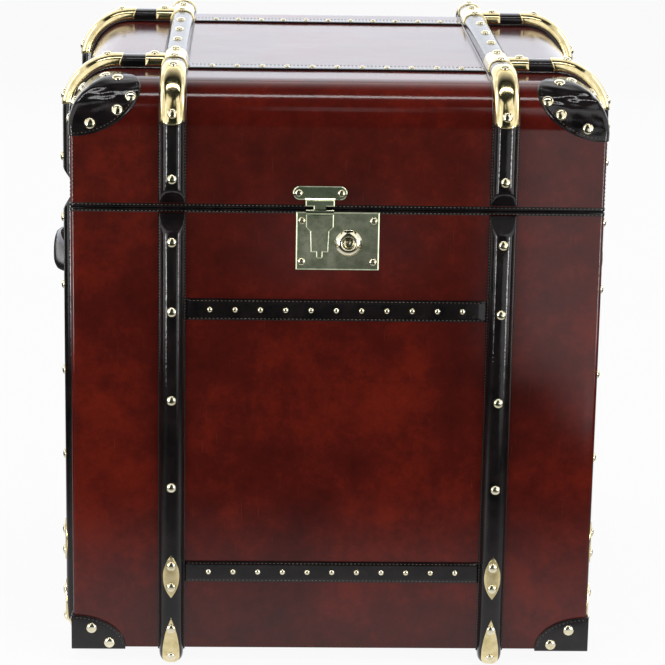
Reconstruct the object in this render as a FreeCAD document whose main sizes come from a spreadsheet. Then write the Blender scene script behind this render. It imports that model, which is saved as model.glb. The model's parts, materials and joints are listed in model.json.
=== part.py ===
import FreeCAD, Part
import math
import os
import Sketcher
from FreeCAD import Placement, Rotation, Vector

# A leather-covered trunk with a hinged, round-edged lid.
# Millimetres, +Z up, front faces -Y, origin on the floor under the middle of the trunk.

doc = FreeCAD.newDocument("leather_trunk")
sheet = doc.addObject("Spreadsheet::Sheet", "Sizes")
subparts = {}


class Size:
    """A length in millimetres, kept with the sheet expression that gives it."""

    def __init__(self, text, value):
        self.text = text
        self.value = value

    def __add__(self, other):
        other = asSize(other)
        return Size(f"({self.text} + {other.text})", self.value + other.value)

    def __sub__(self, other):
        other = asSize(other)
        return Size(f"({self.text} - {other.text})", self.value - other.value)

    def __mul__(self, factor):
        factor = asSize(factor)
        return Size(f"({self.text} * {factor.text})", self.value * factor.value)

    def __truediv__(self, factor):
        factor = asSize(factor)
        return Size(f"({self.text} / {factor.text})", self.value / factor.value)

    def __neg__(self):
        return Size(f"(0 - {self.text})", -self.value)


def asSize(length):
    if isinstance(length, Size):
        return length
    return Size(repr(float(length)), float(length))


def addSize(alias, value):
    """Writes one driving dimension into the sheet."""
    row = len(sheet.getUsedCells()) // 2 + 1
    sheet.set(f"A{row}", alias)
    sheet.set(f"B{row}", str(value))
    sheet.setAlias(f"B{row}", alias)
    return Size(f"Sizes.{alias}", value)


def bind(item, field, length):
    item.setExpression(field, asSize(length).text)


# ---------------------------------------------------------------- driving sizes

caseWidth = addSize("caseWidth", 500)
caseDepth = addSize("caseDepth", 500)
bodyHeight = addSize("bodyHeight", 437)
lidHeight = addSize("lidHeight", 117)
edgeRadius = addSize("edgeRadius", 41)
seamGap = addSize("seamGap", 0.4)
leather = addSize("leather", 2)
board = addSize("board", 9)
lining = addSize("lining", 1.2)
bindingHeight = addSize("bindingHeight", 8)
bindingThickness = addSize("bindingThickness", 1.5)

battenWidth = addSize("battenWidth", 26)
longRise = addSize("longRise", 14)
crossRise = addSize("crossRise", 12.5)
flangeWidth = addSize("flangeWidth", 1.6)
flangeThickness = addSize("flangeThickness", 1.8)
shoulderDrop = addSize("shoulderDrop", 6.6)
crownWidth = addSize("crownWidth", 12)
longInset = addSize("longInset", 95)
crossInset = addSize("crossInset", 95)
rampLength = addSize("rampLength", 20)
lidBattenGap = addSize("lidBattenGap", 4)
tongueLength = addSize("tongueLength", 22)
battenClearance = addSize("battenClearance", 0.3)

capThickness = addSize("capThickness", 1.1)
capLead = addSize("capLead", 5)
capAngle = addSize("capAngle", 80)
capHollowWidth = addSize("capHollowWidth", 17)
capRoof = addSize("capRoof", 4)
saddleLength = addSize("saddleLength", 54)
saddleWing = addSize("saddleWing", 15)
plateThickness = addSize("plateThickness", 1)
plateWidth = addSize("plateWidth", 16.5)
lensLength = addSize("lensLength", 43)
lensHeight = addSize("lensHeight", 77.5)
footPlateTop = addSize("footPlateTop", 35)
footPlateWrap = addSize("footPlateWrap", 62)

strapWidth = addSize("strapWidth", 20.8)
strapThickness = addSize("strapThickness", 2)
upperStrapDrop = addSize("upperStrapDrop", 97)
lowerStrapHeight = addSize("lowerStrapHeight", 78.5)
strapNailPitch = addSize("strapNailPitch", 23.9)
strapNailMargin = addSize("strapNailMargin", 12)
battenNailPitch = addSize("battenNailPitch", 86.5)
strapNailWidth = addSize("strapNailWidth", 5)
strapNailRise = addSize("strapNailRise", 1.8)
nailWidth = addSize("nailWidth", 8.5)
nailRise = addSize("nailRise", 2.4)
nailInset = addSize("nailInset", 6)

cornerThickness = addSize("cornerThickness", 1.8)
topCornerReach = addSize("topCornerReach", 72)
topCornerLift = addSize("topCornerLift", 22)
lowCornerReach = addSize("lowCornerReach", 50.5)
lowCornerHeight = addSize("lowCornerHeight", 33)

lockWidth = addSize("lockWidth", 78)
lockHeight = addSize("lockHeight", 55.4)
lockDrop = addSize("lockDrop", 2.3)
lockPlate = addSize("lockPlate", 1.6)
lockCaseWidth = addSize("lockCaseWidth", 60)
lockCaseHeight = addSize("lockCaseHeight", 38)
lockCaseWall = addSize("lockCaseWall", 1.2)
lockClearance = addSize("lockClearance", 0.3)
plugRadius = addSize("plugRadius", 5.8)
plugX = addSize("plugX", 10.3)
plugDrop = addSize("plugDrop", 31.5)
plugPinRadius = addSize("plugPinRadius", 1.2)
plugPinOrbit = addSize("plugPinOrbit", 3.9)
escutcheonRadius = addSize("escutcheonRadius", 12.7)
escutcheonRise = addSize("escutcheonRise", 3.6)
escutcheonRim = addSize("escutcheonRim", 2.6)
escutcheonDish = addSize("escutcheonDish", 1.2)
boltThickness = addSize("boltThickness", 3.2)
boltHeight = addSize("boltHeight", 4)
screwWidth = addSize("screwWidth", 7)
screwRise = addSize("screwRise", 1.6)
screwInset = addSize("screwInset", 5.3)
lockScrewDrop = addSize("lockScrewDrop", 8)

haspX = addSize("haspX", -17)
haspPlateLength = addSize("haspPlateLength", 50.7)
haspPlateHeight = addSize("haspPlateHeight", 13)
haspPlateLift = addSize("haspPlateLift", 9.4)
haspThickness = addSize("haspThickness", 1.8)
haspWidth = addSize("haspWidth", 26)
haspTongueWidth = addSize("haspTongueWidth", 16.4)
haspLeafLength = addSize("haspLeafLength", 38.8)
haspShoulder = addSize("haspShoulder", 18)
haspTabWidth = addSize("haspTabWidth", 6)
haspTabLength = addSize("haspTabLength", 6)
haspKnuckleRadius = addSize("haspKnuckleRadius", 2.6)
haspPinRadius = addSize("haspPinRadius", 1.2)
haspKnuckle = addSize("haspKnuckle", 12)
haspDrop = addSize("haspDrop", 1.4)
stapleThickness = addSize("stapleThickness", 2.6)
stapleReach = addSize("stapleReach", 10.4)
stapleHeight = addSize("stapleHeight", 12)
stapleEye = addSize("stapleEye", 5.2)
slotClearance = addSize("slotClearance", 1)
pinClearance = addSize("pinClearance", 0.05)
faceGap = addSize("faceGap", 0.4)

hingePairWidth = addSize("hingePairWidth", 180)
hingeWidth = addSize("hingeWidth", 50)
hingeLeafHeight = addSize("hingeLeafHeight", 24)
hingeLeaf = addSize("hingeLeaf", 1.6)
hingeBarrelRadius = addSize("hingeBarrelRadius", 3.1)
hingePinRadius = addSize("hingePinRadius", 1.5)

handleLength = addSize("handleLength", 160)
handleHeight = addSize("handleHeight", 39)
handleEndHeight = addSize("handleEndHeight", 20)
handleReach = addSize("handleReach", 34)
handleEdgeReach = addSize("handleEdgeReach", 24)
handleThickness = addSize("handleThickness", 14)
handleEndThickness = addSize("handleEndThickness", 11)
handlePivot = addSize("handlePivot", 10.5)
handleBend = addSize("handleBend", 40)
handleBack = addSize("handleBack", 4.6)
handleBackLean = addSize("handleBackLean", 11.4)
handlePinRadius = addSize("handlePinRadius", 2.4)
handlePinLength = addSize("handlePinLength", 8)
bracketThickness = addSize("bracketThickness", 2)
bracketFoot = addSize("bracketFoot", 12)
doc.recompute()

# heights and distances that follow from them
halfWidth = caseWidth / 2
halfDepth = caseDepth / 2
footHeight = longRise
bodyTop = footHeight + bodyHeight
lidBottom = bodyTop + seamGap
lidTop = bodyTop + lidHeight
halfBatten = battenWidth / 2
longSpacing = caseWidth - longInset * 2
crossSpacing = caseDepth - crossInset * 2
upperStrapHeight = bodyHeight - upperStrapDrop
innerHalfWidth = halfWidth - leather - board
innerHalfDepth = halfDepth - leather - board

# ---------------------------------------------------------------- small tools


def block(name, xs, ys, zs):
    """A box between two places on each axis."""
    box = doc.addObject("Part::Box", name)
    for field, axis, (low, high) in zip(("Length", "Width", "Height"), "xyz", (xs, ys, zs)):
        bind(box, field, asSize(high) - low)
        bind(box, f"Placement.Base.{axis}", low)
    return box


def cut(name, base, tool):
    result = doc.addObject("Part::Cut", name)
    result.Base = base
    result.Tool = tool
    return result


def common(name, first, second):
    result = doc.addObject("Part::Common", name)
    result.Base = first
    result.Tool = second
    return result


def group(name, pieces, quarterTurns=0):
    """Several solids kept together, turned about the trunk's upright axis if asked."""
    result = doc.addObject("Part::Compound", name)
    result.Links = pieces
    result.Placement = Placement(Vector(), Rotation(Vector(0, 0, 1), 90 * quarterTurns))
    return result


def mirrored(name, source, normal):
    result = doc.addObject("Part::Mirroring", name)
    result.Source = source
    result.Normal = Vector(*normal)
    return result


def pair(name, source, normal=(1, 0, 0)):
    """A piece and its mirror image across the middle of the trunk."""
    return group(name, [source, mirrored(name + "_twin", source, normal)])


def fourCorners(name, source):
    return pair(name, pair(name + "_pair", source), (0, 1, 0))


def keep(node, item):
    """Names a finished sub-part after the file that it goes into."""
    item.Label = node
    subparts[node] = item


def newBody(name):
    return doc.addObject("PartDesign::Body", name)


def originPlane(body, role):
    return [feature for feature in body.Origin.OriginFeatures if feature.Role == role][0]


def sketch(body, name, plane, corners, offset=0, axis=None):
    """A closed outline through corners (x, y) or rounded corners (x, y, radius).

    axis, if given, is the height of a construction line that a revolution turns about.
    """
    drawing = body.newObject("Sketcher::SketchObject", name)
    drawing.AttachmentSupport = [(originPlane(body, plane), "")]
    drawing.MapMode = "FlatFace"
    bind(drawing, "AttachmentOffset.Base.z", offset)

    def lock(kind, geometry, point, length):
        number = drawing.addConstraint(
            Sketcher.Constraint(kind, -1, 1, geometry, point, length.value))
        drawing.setExpression(f"Constraints[{number}]", length.text)

    spots = [Vector(asSize(corner[0]).value, asSize(corner[1]).value, 0) for corner in corners]
    count = len(spots)
    arrive = list(spots)
    leave = list(spots)
    bends = {}
    for index, corner in enumerate(corners):
        if len(corner) == 3:
            radius = asSize(corner[2])
            back = (spots[index - 1] - spots[index]).normalize()
            ahead = (spots[(index + 1) % count] - spots[index]).normalize()
            half = back.getAngle(ahead) / 2
            arrive[index] = spots[index] + back * (radius.value / math.tan(half))
            leave[index] = spots[index] + ahead * (radius.value / math.tan(half))
            centre = spots[index] + (back + ahead).normalize() * (radius.value / math.sin(half))
            turnsLeft = back.cross(ahead).z < 0
            bends[index] = (radius, centre, turnsLeft)
    lines = [drawing.addGeometry(Part.LineSegment(leave[i], arrive[(i + 1) % count]), False)
             for i in range(count)]
    for index, corner in enumerate(corners):
        before = lines[index - 1]
        after = lines[index]
        if index in bends:
            radius, centre, turnsLeft = bends[index]
            first, last = (arrive, leave) if turnsLeft else (leave, arrive)
            angles = [math.atan2(spot.y - centre.y, spot.x - centre.x)
                      for spot in (first[index], last[index])]
            circle = Part.Circle(centre, Vector(0, 0, 1), radius.value)
            arc = drawing.addGeometry(Part.ArcOfCircle(circle, *angles), False)
            near, far = (1, 2) if turnsLeft else (2, 1)
            drawing.addConstraint(Sketcher.Constraint("Tangent", before, 2, arc, near))
            drawing.addConstraint(Sketcher.Constraint("Tangent", after, 1, arc, far))
            number = drawing.addConstraint(Sketcher.Constraint("Radius", arc, radius.value))
            drawing.setExpression(f"Constraints[{number}]", radius.text)
            held = drawing.addGeometry(Part.Point(spots[index]), True)
            drawing.addConstraint(Sketcher.Constraint("PointOnObject", held, 1, before))
            drawing.addConstraint(Sketcher.Constraint("PointOnObject", held, 1, after))
        else:
            drawing.addConstraint(Sketcher.Constraint("Coincident", before, 2, after, 1))
            held = after
        lock("DistanceX", held, 1, asSize(corner[0]))
        lock("DistanceY", held, 1, asSize(corner[1]))
    if axis is not None:
        height = asSize(axis)
        ends = (Vector(-10, height.value, 0), Vector(10, height.value, 0))
        line = drawing.addGeometry(Part.LineSegment(*ends), True)
        for point, spot in ((1, ends[0]), (2, ends[1])):
            lock("DistanceX", line, point, asSize(spot.x))
            lock("DistanceY", line, point, height)
    return drawing


def pad(body, drawing, length, reverse=False, kind="PartDesign::Pad"):
    feature = body.newObject(kind, drawing.Name + "_pad")
    feature.Profile = drawing
    bind(feature, "Length", length)
    feature.Reversed = reverse
    return feature


def pocket(body, drawing, length, reverse=False):
    return pad(body, drawing, length, reverse, "PartDesign::Pocket")


def turn(body, drawing, angle, reverse=False, kind="PartDesign::Revolution"):
    """Turns an outline about its own construction line."""
    feature = body.newObject(kind, drawing.Name + "_turn")
    feature.Profile = drawing
    feature.ReferenceAxis = (drawing, ["Axis0"])
    bind(feature, "Angle", angle)
    feature.Reversed = reverse
    return feature


def prism(name, plane, corners, start, length, reverse=False):
    body = newBody(name)
    pad(body, sketch(body, name + "_outline", plane, corners, start), length, reverse)
    return body


def rod(name, radius, length, base, direction):
    """A round bar from base along direction."""
    cylinder = doc.addObject("Part::Cylinder", name)
    bind(cylinder, "Radius", radius)
    bind(cylinder, "Height", length)
    cylinder.Placement = Placement(Vector(), Rotation(Vector(0, 0, 1), Vector(*direction)))
    for axis, length in zip("xyz", base):
        bind(cylinder, f"Placement.Base.{axis}", length)
    return cylinder


# ---------------------------------------------------------------- carcass boards, leather and lining


def buildCarcass():
    boardBottom = footHeight + leather
    boardTop = bodyTop - bindingThickness
    outer = (halfWidth - leather, halfDepth - leather)
    span = {"x": (-outer[0], outer[0]), "y": (-outer[1], outer[1])}
    innerX = (-innerHalfWidth, innerHalfWidth)
    innerY = (-innerHalfDepth, innerHalfDepth)
    rise = (boardBottom, boardTop)
    keep("base_board", block("BaseBoard", innerX, innerY, (boardBottom, boardBottom + board)))
    keep("back_board", block("BackBoard", span["x"], (innerHalfDepth, outer[1]), rise))
    keep("left_board", block("LeftBoard", (-outer[0], -innerHalfWidth), innerY, rise))
    keep("right_board", block("RightBoard", (innerHalfWidth, outer[0]), innerY, rise))
    front = block("FrontBlank", span["x"], (-outer[1], -innerHalfDepth), rise)
    window = lockWindow("BoardWindow", -innerHalfDepth + 1)
    keep("front_board", cut("FrontBoard", front, group("BoardOpenings", [window, stapleSlot("BoardSlot")])))

    keep("base_leather", block("BaseLeather", span["x"], span["y"], (footHeight, boardBottom)))
    panelTop = bodyTop - bindingHeight
    panelRise = (footHeight, panelTop)
    wide = (-halfWidth, halfWidth)
    frontPanel = block("FrontPanelBlank", wide, (-halfDepth, -outer[1]), panelRise)
    openings = group("LeatherOpenings", [lockWindow("LeatherWindow", -innerHalfDepth),
                                         stapleSlot("LeatherSlot")])
    panels = [cut("FrontPanel", frontPanel, openings),
              block("BackPanel", wide, (outer[1], halfDepth), panelRise),
              block("LeftPanel", (-halfWidth, -outer[0]), span["y"], panelRise),
              block("RightPanel", (outer[0], halfWidth), span["y"], panelRise)]
    keep("body_leather", group("BodyLeather", panels))

    # the rim binding caps the boards and the lining, and turns down over the outside
    ring = cut("BindingRing",
               block("BindingOuter", wide, (-halfDepth, halfDepth), (panelTop, bodyTop)),
               block("BindingSeat", span["x"], span["y"], (panelTop, boardTop)))
    liningX = innerHalfWidth - lining
    liningY = innerHalfDepth - lining
    mouth = block("BindingMouth", (-liningX, liningX), (-liningY, liningY), (boardTop, bodyTop))
    keep("body_rim_binding", cut("BodyBinding", cut("BindingLip", ring, mouth), stapleSlot("BindingSlot")))

    liningRise = boardBottom + board
    keep("body_lining", cut("BodyLining",
                            block("LiningOuter", innerX, innerY, (liningRise, boardTop)),
                            block("LiningInner", (-liningX, liningX), (-liningY, liningY),
                                  (liningRise + lining, boardTop))))


# ---------------------------------------------------------------- lid shell


def roundedBlock(name, halfX, halfY, low, high, radius):
    """A block whose four top edges are rounded and meet in mitred creases."""
    body = newBody(name)
    base = sketch(body, name + "_plan", "XY_Plane",
                  [(-halfX, -halfY), (halfX, -halfY), (halfX, halfY), (-halfX, halfY)], low)
    solid = pad(body, base, high - low)
    doc.recompute()
    top = solid.Shape.BoundBox.ZMax
    edges = [f"Edge{number + 1}" for number, edge in enumerate(solid.Shape.Edges)
             if all(abs(vertex.Z - top) < 1e-6 for vertex in edge.Vertexes)]
    rounding = body.newObject("PartDesign::Fillet", name + "_edges")
    rounding.Base = (solid, edges)
    bind(rounding, "Radius", radius)
    return body


def lidZone(name, acrossX, acrossY, quarterTurns):
    """The plan of one mitred rail, as an upright prism on the side that faces +Y."""
    corners = [(-acrossX, acrossY), (edgeRadius - acrossX, acrossY - edgeRadius),
               (acrossX - edgeRadius, acrossY - edgeRadius), (acrossX, acrossY)]
    zone = prism(name, "XY_Plane", corners, bodyTop, lidHeight)
    zone.Placement = Placement(Vector(), Rotation(Vector(0, 0, 1), 90 * quarterTurns))
    return zone


def buildLidShell():
    railBottom = lidBottom + bindingThickness
    leatherBottom = lidBottom + bindingHeight
    depths = {"cover": asSize(0), "wood": leather, "inside": leather + board,
              "room": leather + board + lining}

    def shellBlock(name, depth, low):
        return roundedBlock(name, halfWidth - depths[depth], halfDepth - depths[depth], low,
                            lidTop - depths[depth], edgeRadius - depths[depth])

    cover = shellBlock("LidCover", "cover", leatherBottom)
    keep("lid_leather", cut("LidLeather", cover, shellBlock("LidWoodSpace", "wood", bodyTop)))
    frame = cut("LidFrame", shellBlock("LidWood", "wood", railBottom),
                shellBlock("LidInside", "inside", bodyTop))
    keep("lid_lining", cut("LidLining", shellBlock("LidLiningOuter", "inside", railBottom),
                           shellBlock("LidRoom", "room", bodyTop)))
    for node, acrossX, acrossY, quarterTurns in (
            ("lid_back_rail", halfWidth, halfDepth, 0), ("lid_left_rail", halfDepth, halfWidth, 1),
            ("lid_front_rail", halfWidth, halfDepth, 2), ("lid_right_rail", halfDepth, halfWidth, 3)):
        keep(node, common(node + "_solid", frame, lidZone(node + "_zone", acrossX, acrossY, quarterTurns)))
    flatX = halfWidth - edgeRadius
    flatY = halfDepth - edgeRadius
    middle = block("LidTopZone", (-flatX, flatX), (-flatY, flatY), (bodyTop, lidTop))
    keep("lid_top_board", common("LidTopBoard", frame, middle))

    woodX = halfWidth - leather
    woodY = halfDepth - leather
    ring = cut("LidBindingRing",
               block("LidBindingOuter", (-halfWidth, halfWidth), (-halfDepth, halfDepth),
                     (lidBottom, leatherBottom)),
               block("LidBindingSeat", (-woodX, woodX), (-woodY, woodY), (railBottom, leatherBottom)))
    roomX = innerHalfWidth - lining
    roomY = innerHalfDepth - lining
    keep("lid_rim_binding", cut("LidBinding", ring,
                                block("LidMouth", (-roomX, roomX), (-roomY, roomY),
                                      (lidBottom, railBottom))))


# ---------------------------------------------------------------- formed leather corners


def polesAside(up):
    """Turns a ball so that its poles and its seam miss the corner that it trims."""
    return Rotation(Vector(0, 0, up), Vector(up, up, 0), Vector(-1, 1, 0), "ZXY")


def buildCorners():
    lidSolid = roundedBlock("LidWhole", halfWidth, halfDepth, lidBottom, lidTop, edgeRadius)
    skin = roundedBlock("LidSkin", halfWidth + cornerThickness, halfDepth + cornerThickness,
                        lidBottom, lidTop + cornerThickness, edgeRadius + cornerThickness)
    ball = doc.addObject("Part::Sphere", "TopCornerReach")
    bind(ball, "Radius", topCornerReach)
    ball.Placement = Placement(Vector(), polesAside(1))
    placeAt(ball, halfWidth, halfDepth, lidTop + topCornerLift)
    shell = cut("TopCornerShell", skin, lidSolid)
    keep("top_corner_leathers", fourCorners("TopCorners", common("TopCorner", shell, ball)))

    body = block("BodyWhole", (-halfWidth, halfWidth), (-halfDepth, halfDepth), (footHeight, bodyTop))
    wrap = block("BodyWrap", (-(halfWidth + cornerThickness), halfWidth + cornerThickness),
                 (-(halfDepth + cornerThickness), halfDepth + cornerThickness),
                 (footHeight - cornerThickness, bodyTop))
    reach = doc.addObject("Part::Ellipsoid", "LowCornerReach")
    bind(reach, "Radius1", lowCornerReach)
    bind(reach, "Radius2", lowCornerHeight)
    bind(reach, "Radius3", lowCornerReach)
    reach.Placement = Placement(Vector(), polesAside(-1))
    placeAt(reach, halfWidth, halfDepth, footHeight)
    shell = cut("LowCornerShell", wrap, body)
    keep("bottom_corner_leathers", fourCorners("LowCorners", common("LowCorner", shell, reach)))


def placeAt(item, x, y, z):
    for axis, length in zip("xyz", (x, y, z)):
        bind(item, f"Placement.Base.{axis}", length)


# ---------------------------------------------------------------- battens


def battenSide(rise, off=0):
    """One side of a batten's section from foot to crown, or of a sheet that lies off its face."""
    side = halfBatten - flangeWidth + off
    corner = asSize(off) * 0.4
    return [(side, rise - shoulderDrop + corner), (crownWidth / 2 + corner, rise + off)]


def battenOutline(across, surface, rise, up=1):
    """The section of a leather-covered batten: sewn flanges, steep sides, shoulders and a crown."""
    foot = halfBatten - flangeWidth
    flange = [(halfBatten, 0), (halfBatten, flangeThickness), (foot, flangeThickness)]
    return mirrorOutline(flange + battenSide(rise), across, surface, up)


def plainOutline(across, surface, rise):
    """The same section without its flanges."""
    return mirrorOutline([(halfBatten - flangeWidth, 0)] + battenSide(rise), across, surface, 1)


def shellOutline(across, surface, rise, thickness, up=1):
    """A sheet bent over a batten, from one flange over the crown to the other."""
    foot = halfBatten - flangeWidth
    outer = [(foot + thickness, flangeThickness)] + battenSide(rise, thickness)
    inner = [(foot, flangeThickness)] + battenSide(rise)
    return mirrorOutline(outer, across, surface, up) + mirrorOutline(inner, across, surface, up)[::-1]


def mirrorOutline(half, across, surface, up):
    """Corners of a symmetric outline from its right half, which runs from foot to crown."""
    def corner(side, point):
        spot = (across + point[0] * side, surface + asSize(point[1]) * up)
        return spot + tuple(point[2:])
    right = [corner(1, (asSize(point[0]),) + tuple(point[1:])) for point in half]
    left = [corner(-1, (asSize(point[0]),) + tuple(point[1:])) for point in reversed(half)]
    return right + left


def bodyBatten(name, half, across, rise):
    """One upright batten on the side that faces +Y, with a ramp at the seam and a rounded toe."""
    body = newBody(name)
    section = sketch(body, name + "_section", "XY_Plane", battenOutline(across, half, rise), footHeight)
    pad(body, section, bodyHeight)
    toe = sketch(body, name + "_toe", "XY_Plane", plainOutline(across, half, rise), footHeight, axis=half)
    turn(body, toe, 90, reverse=True)
    ramp = [(half + flangeThickness, bodyTop), (half + rise, bodyTop - tongueLength),
            (half + rise + 5, bodyTop - tongueLength), (half + rise + 5, bodyTop)]
    wedge = sketch(body, name + "_ramp", "YZ_Plane", ramp, across - halfBatten)
    pocket(body, wedge, battenWidth, reverse=True)
    return body


def lidBatten(name, half, across, start, rise):
    """The two lengths of one lid batten, from saddle to cap and from cap to ramped end."""
    arcHeight = lidTop - edgeRadius
    end = bodyTop + lidBattenGap
    capStart = half - edgeRadius - capLead
    upper = prism(name + "Upper", "XZ_Plane", battenOutline(across, lidTop, rise),
                  -capStart, capStart - start)
    body = newBody(name)
    down = sketch(body, name + "_down", "XY_Plane", battenOutline(across, half, rise), arcHeight)
    pad(body, down, arcHeight - end, reverse=True)
    bend = sketch(body, name + "_bend", "XY_Plane", plainOutline(across, half, rise),
                  arcHeight, axis=half - edgeRadius)
    turn(body, bend, -capAngle + 90)
    ramp = [(half + flangeThickness, end), (half + rise + 5, end),
            (half + rise + 5, end + rampLength), (half + rise, end + rampLength)]
    wedge = sketch(body, name + "_ramp", "YZ_Plane", ramp, across - halfBatten)
    pocket(body, wedge, battenWidth, reverse=True)
    return group(name + "Lengths", [upper, body])


def edgeCap(name, half, across, rise):
    """A cast brass cap that bridges a lid batten's two lengths over the rounded edge."""
    body = newBody(name)
    arcStart = half - edgeRadius
    outer = [(halfBatten - flangeWidth + capThickness, 0)] + battenSide(rise, capThickness)
    inner = [(capHollowWidth / 2, 0), (capHollowWidth / 2, rise - capRoof)]
    outline = mirrorOutline(outer, across, lidTop, 1) + mirrorOutline(inner, across, lidTop, 1)[::-1]
    over = sketch(body, name + "_over", "XZ_Plane", outline, -arcStart, axis=lidTop - edgeRadius)
    pad(body, over, capLead)
    turn(body, over, capAngle, reverse=True)
    return body


def lensPrism(name, across, height, halfLength, half, rise):
    """The overlap of two round bars: a lens seen from the side that faces +Y."""
    halfPlate = plateWidth / 2
    radius = (halfLength * halfLength + halfPlate * halfPlate) / plateWidth
    bars = [rod(f"{name}_{side}", radius, rise + plateThickness * 4,
                (across + (radius - halfPlate) * direction, half - plateThickness, height), (0, 1, 0))
            for side, direction in (("a", 1), ("b", -1))]
    return common(name, *bars)


def battenPlates(name, half, across, rise):
    """The lens plate and the foot plate of one body batten."""
    body = newBody(name)
    outline = shellOutline(across, half, rise, plateThickness)
    section = sketch(body, name + "_section", "XY_Plane", outline, footHeight, axis=half)
    pad(body, section, lensHeight + lensLength)
    turn(body, section, footPlateWrap, reverse=True)
    lens = lensPrism(name + "_lens", across, footHeight + lensHeight, lensLength / 2, half, rise)
    widest = footHeight - plateThickness * 2
    foot = lensPrism(name + "_foot", across, widest, footHeight + footPlateTop - widest,
                     half - rise, rise * 2)
    return common(name + "_lensPlate", body, lens), common(name + "_footPlate", body, foot)


def buildBattens():
    kits = (("long", halfDepth, longSpacing / 2, crossSpacing / 2, longRise, (("back", 0), ("front", 2))),
            ("cross", halfWidth, crossSpacing / 2, longSpacing / 2 + halfBatten + battenClearance, crossRise,
             (("left", 1), ("right", 3))))
    gathered = {"lens_plates": [], "foot_plates": [], "edge_caps": []}
    for kit, half, across, start, rise, sides in kits:
        upright = pair(kit + "Upright", bodyBatten(kit + "Body", half, across, rise))
        over = pair(kit + "Over", lidBatten(kit + "Lid", half, across, start, rise))
        caps = pair(kit + "Caps", edgeCap(kit + "Cap", half, across, rise))
        lens, foot = battenPlates(kit + "Plates", half, across, rise)
        lensPair = pair(kit + "Lens", lens)
        footPair = pair(kit + "Foot", foot)
        for side, quarterTurns in sides:
            keep(f"{side}_battens", group(side + "Battens", [upright], quarterTurns))
            keep(f"lid_{side}_battens", group(side + "LidBattens", [over], quarterTurns))
            for node, source in (("edge_caps", caps), ("lens_plates", lensPair),
                                 ("foot_plates", footPair)):
                gathered[node].append(group(f"{side}_{node}", [source], quarterTurns))
    for node, pieces in gathered.items():
        keep(node, group(node + "_all", pieces))

    slat = prism("TopSlat", "XZ_Plane", battenOutline(longSpacing / 2, lidTop, longRise),
                 -(crossSpacing / 2), crossSpacing)
    keep("lid_top_slats", pair("TopSlats", slat))
    runner = prism("Runner", "XZ_Plane", battenOutline(longSpacing / 2, footHeight, longRise, -1),
                   -halfDepth, caseDepth)
    stubStart = longSpacing / 2 + halfBatten + battenClearance
    stub = prism("Stub", "YZ_Plane", battenOutline(crossSpacing / 2, footHeight, crossRise, -1),
                 stubStart, halfWidth - stubStart)
    keep("base_runners", group("Runners", [pair("RunnerPair", runner), fourCorners("Stubs", stub)]))

    # a saddle is a band over the long batten with a wing over the start of the cross one
    body = newBody("Saddle")
    bandX = longSpacing / 2
    bandY = crossSpacing / 2
    wing = sketch(body, "SaddleWing", "YZ_Plane",
                  shellOutline(bandY, lidTop, crossRise, capThickness), bandX)
    pad(body, wing, halfBatten + saddleWing)
    outer = shellOutline(bandX, lidTop, longRise, capThickness)
    filled = outer[:6]
    below = [(outer[5][0], lidTop), (outer[0][0], lidTop)]
    room = sketch(body, "SaddleRoom", "XZ_Plane", filled + below, -(bandY + battenWidth))
    pocket(body, room, battenWidth * 2, reverse=True)
    band = sketch(body, "SaddleBand", "XZ_Plane", outer, -(bandY + saddleLength / 2))
    pad(body, band, saddleLength)
    keep("saddles", fourCorners("Saddles", body))


# ---------------------------------------------------------------- straps


def buildStraps():
    halfStrap = strapWidth / 2
    reach = longSpacing / 2 - halfBatten
    crossReach = crossSpacing / 2 - halfBatten
    for side, half, span, quarterTurns in (
            ("back", halfDepth, reach, 0), ("left", halfWidth, crossReach, 1),
            ("front", halfDepth, reach, 2), ("right", halfWidth, crossReach, 3)):
        straps = []
        for level, height in (("Upper", upperStrapHeight), ("Lower", lowerStrapHeight)):
            middle = footHeight + height
            straps.append(block(f"{side}{level}Strap", (-span, span), (half, half + strapThickness),
                                (middle - halfStrap, middle + halfStrap)))
        keep(f"{side}_straps", group(side + "Straps", straps, quarterTurns))
    middle = crossSpacing / 2
    strap = block("LidStrap", (-reach, reach), (middle - halfStrap, middle + halfStrap),
                  (lidTop, lidTop + strapThickness))
    keep("lid_straps", pair("LidStraps", strap, (0, 1, 0)))


# ---------------------------------------------------------------- lock


def lockWindow(name, back):
    """The opening that the lock case fills, from the front to the given depth."""
    top = bodyTop - lockDrop - (lockHeight - lockCaseHeight) / 2
    halfCase = lockCaseWidth / 2 + lockClearance
    return block(name, (-halfCase, halfCase), (-halfDepth - 1, back),
                 (top - lockCaseHeight - lockClearance, top + lockClearance))


def stapleSlot(name):
    """The upright slot that the hasp's staple leaves by when the lid is raised."""
    half = stapleThickness / 2 + slotClearance
    return block(name, (haspX - half, haspX + half),
                 (-halfDepth - lockPlate - 1, stapleTip + slotClearance), (stapleLow - 4, bodyTop + 1))


plateFront = -(halfDepth + lockPlate)
leafBack = plateFront - faceGap
haspAxisY = leafBack - haspKnuckleRadius
haspAxisZ = bodyTop - haspDrop
stapleTip = leafBack + stapleReach
plugZ = bodyTop - plugDrop
stapleLow = plugZ - stapleHeight / 2
boltBack = stapleTip - 2
boltFront = boltBack - boltThickness


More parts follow.
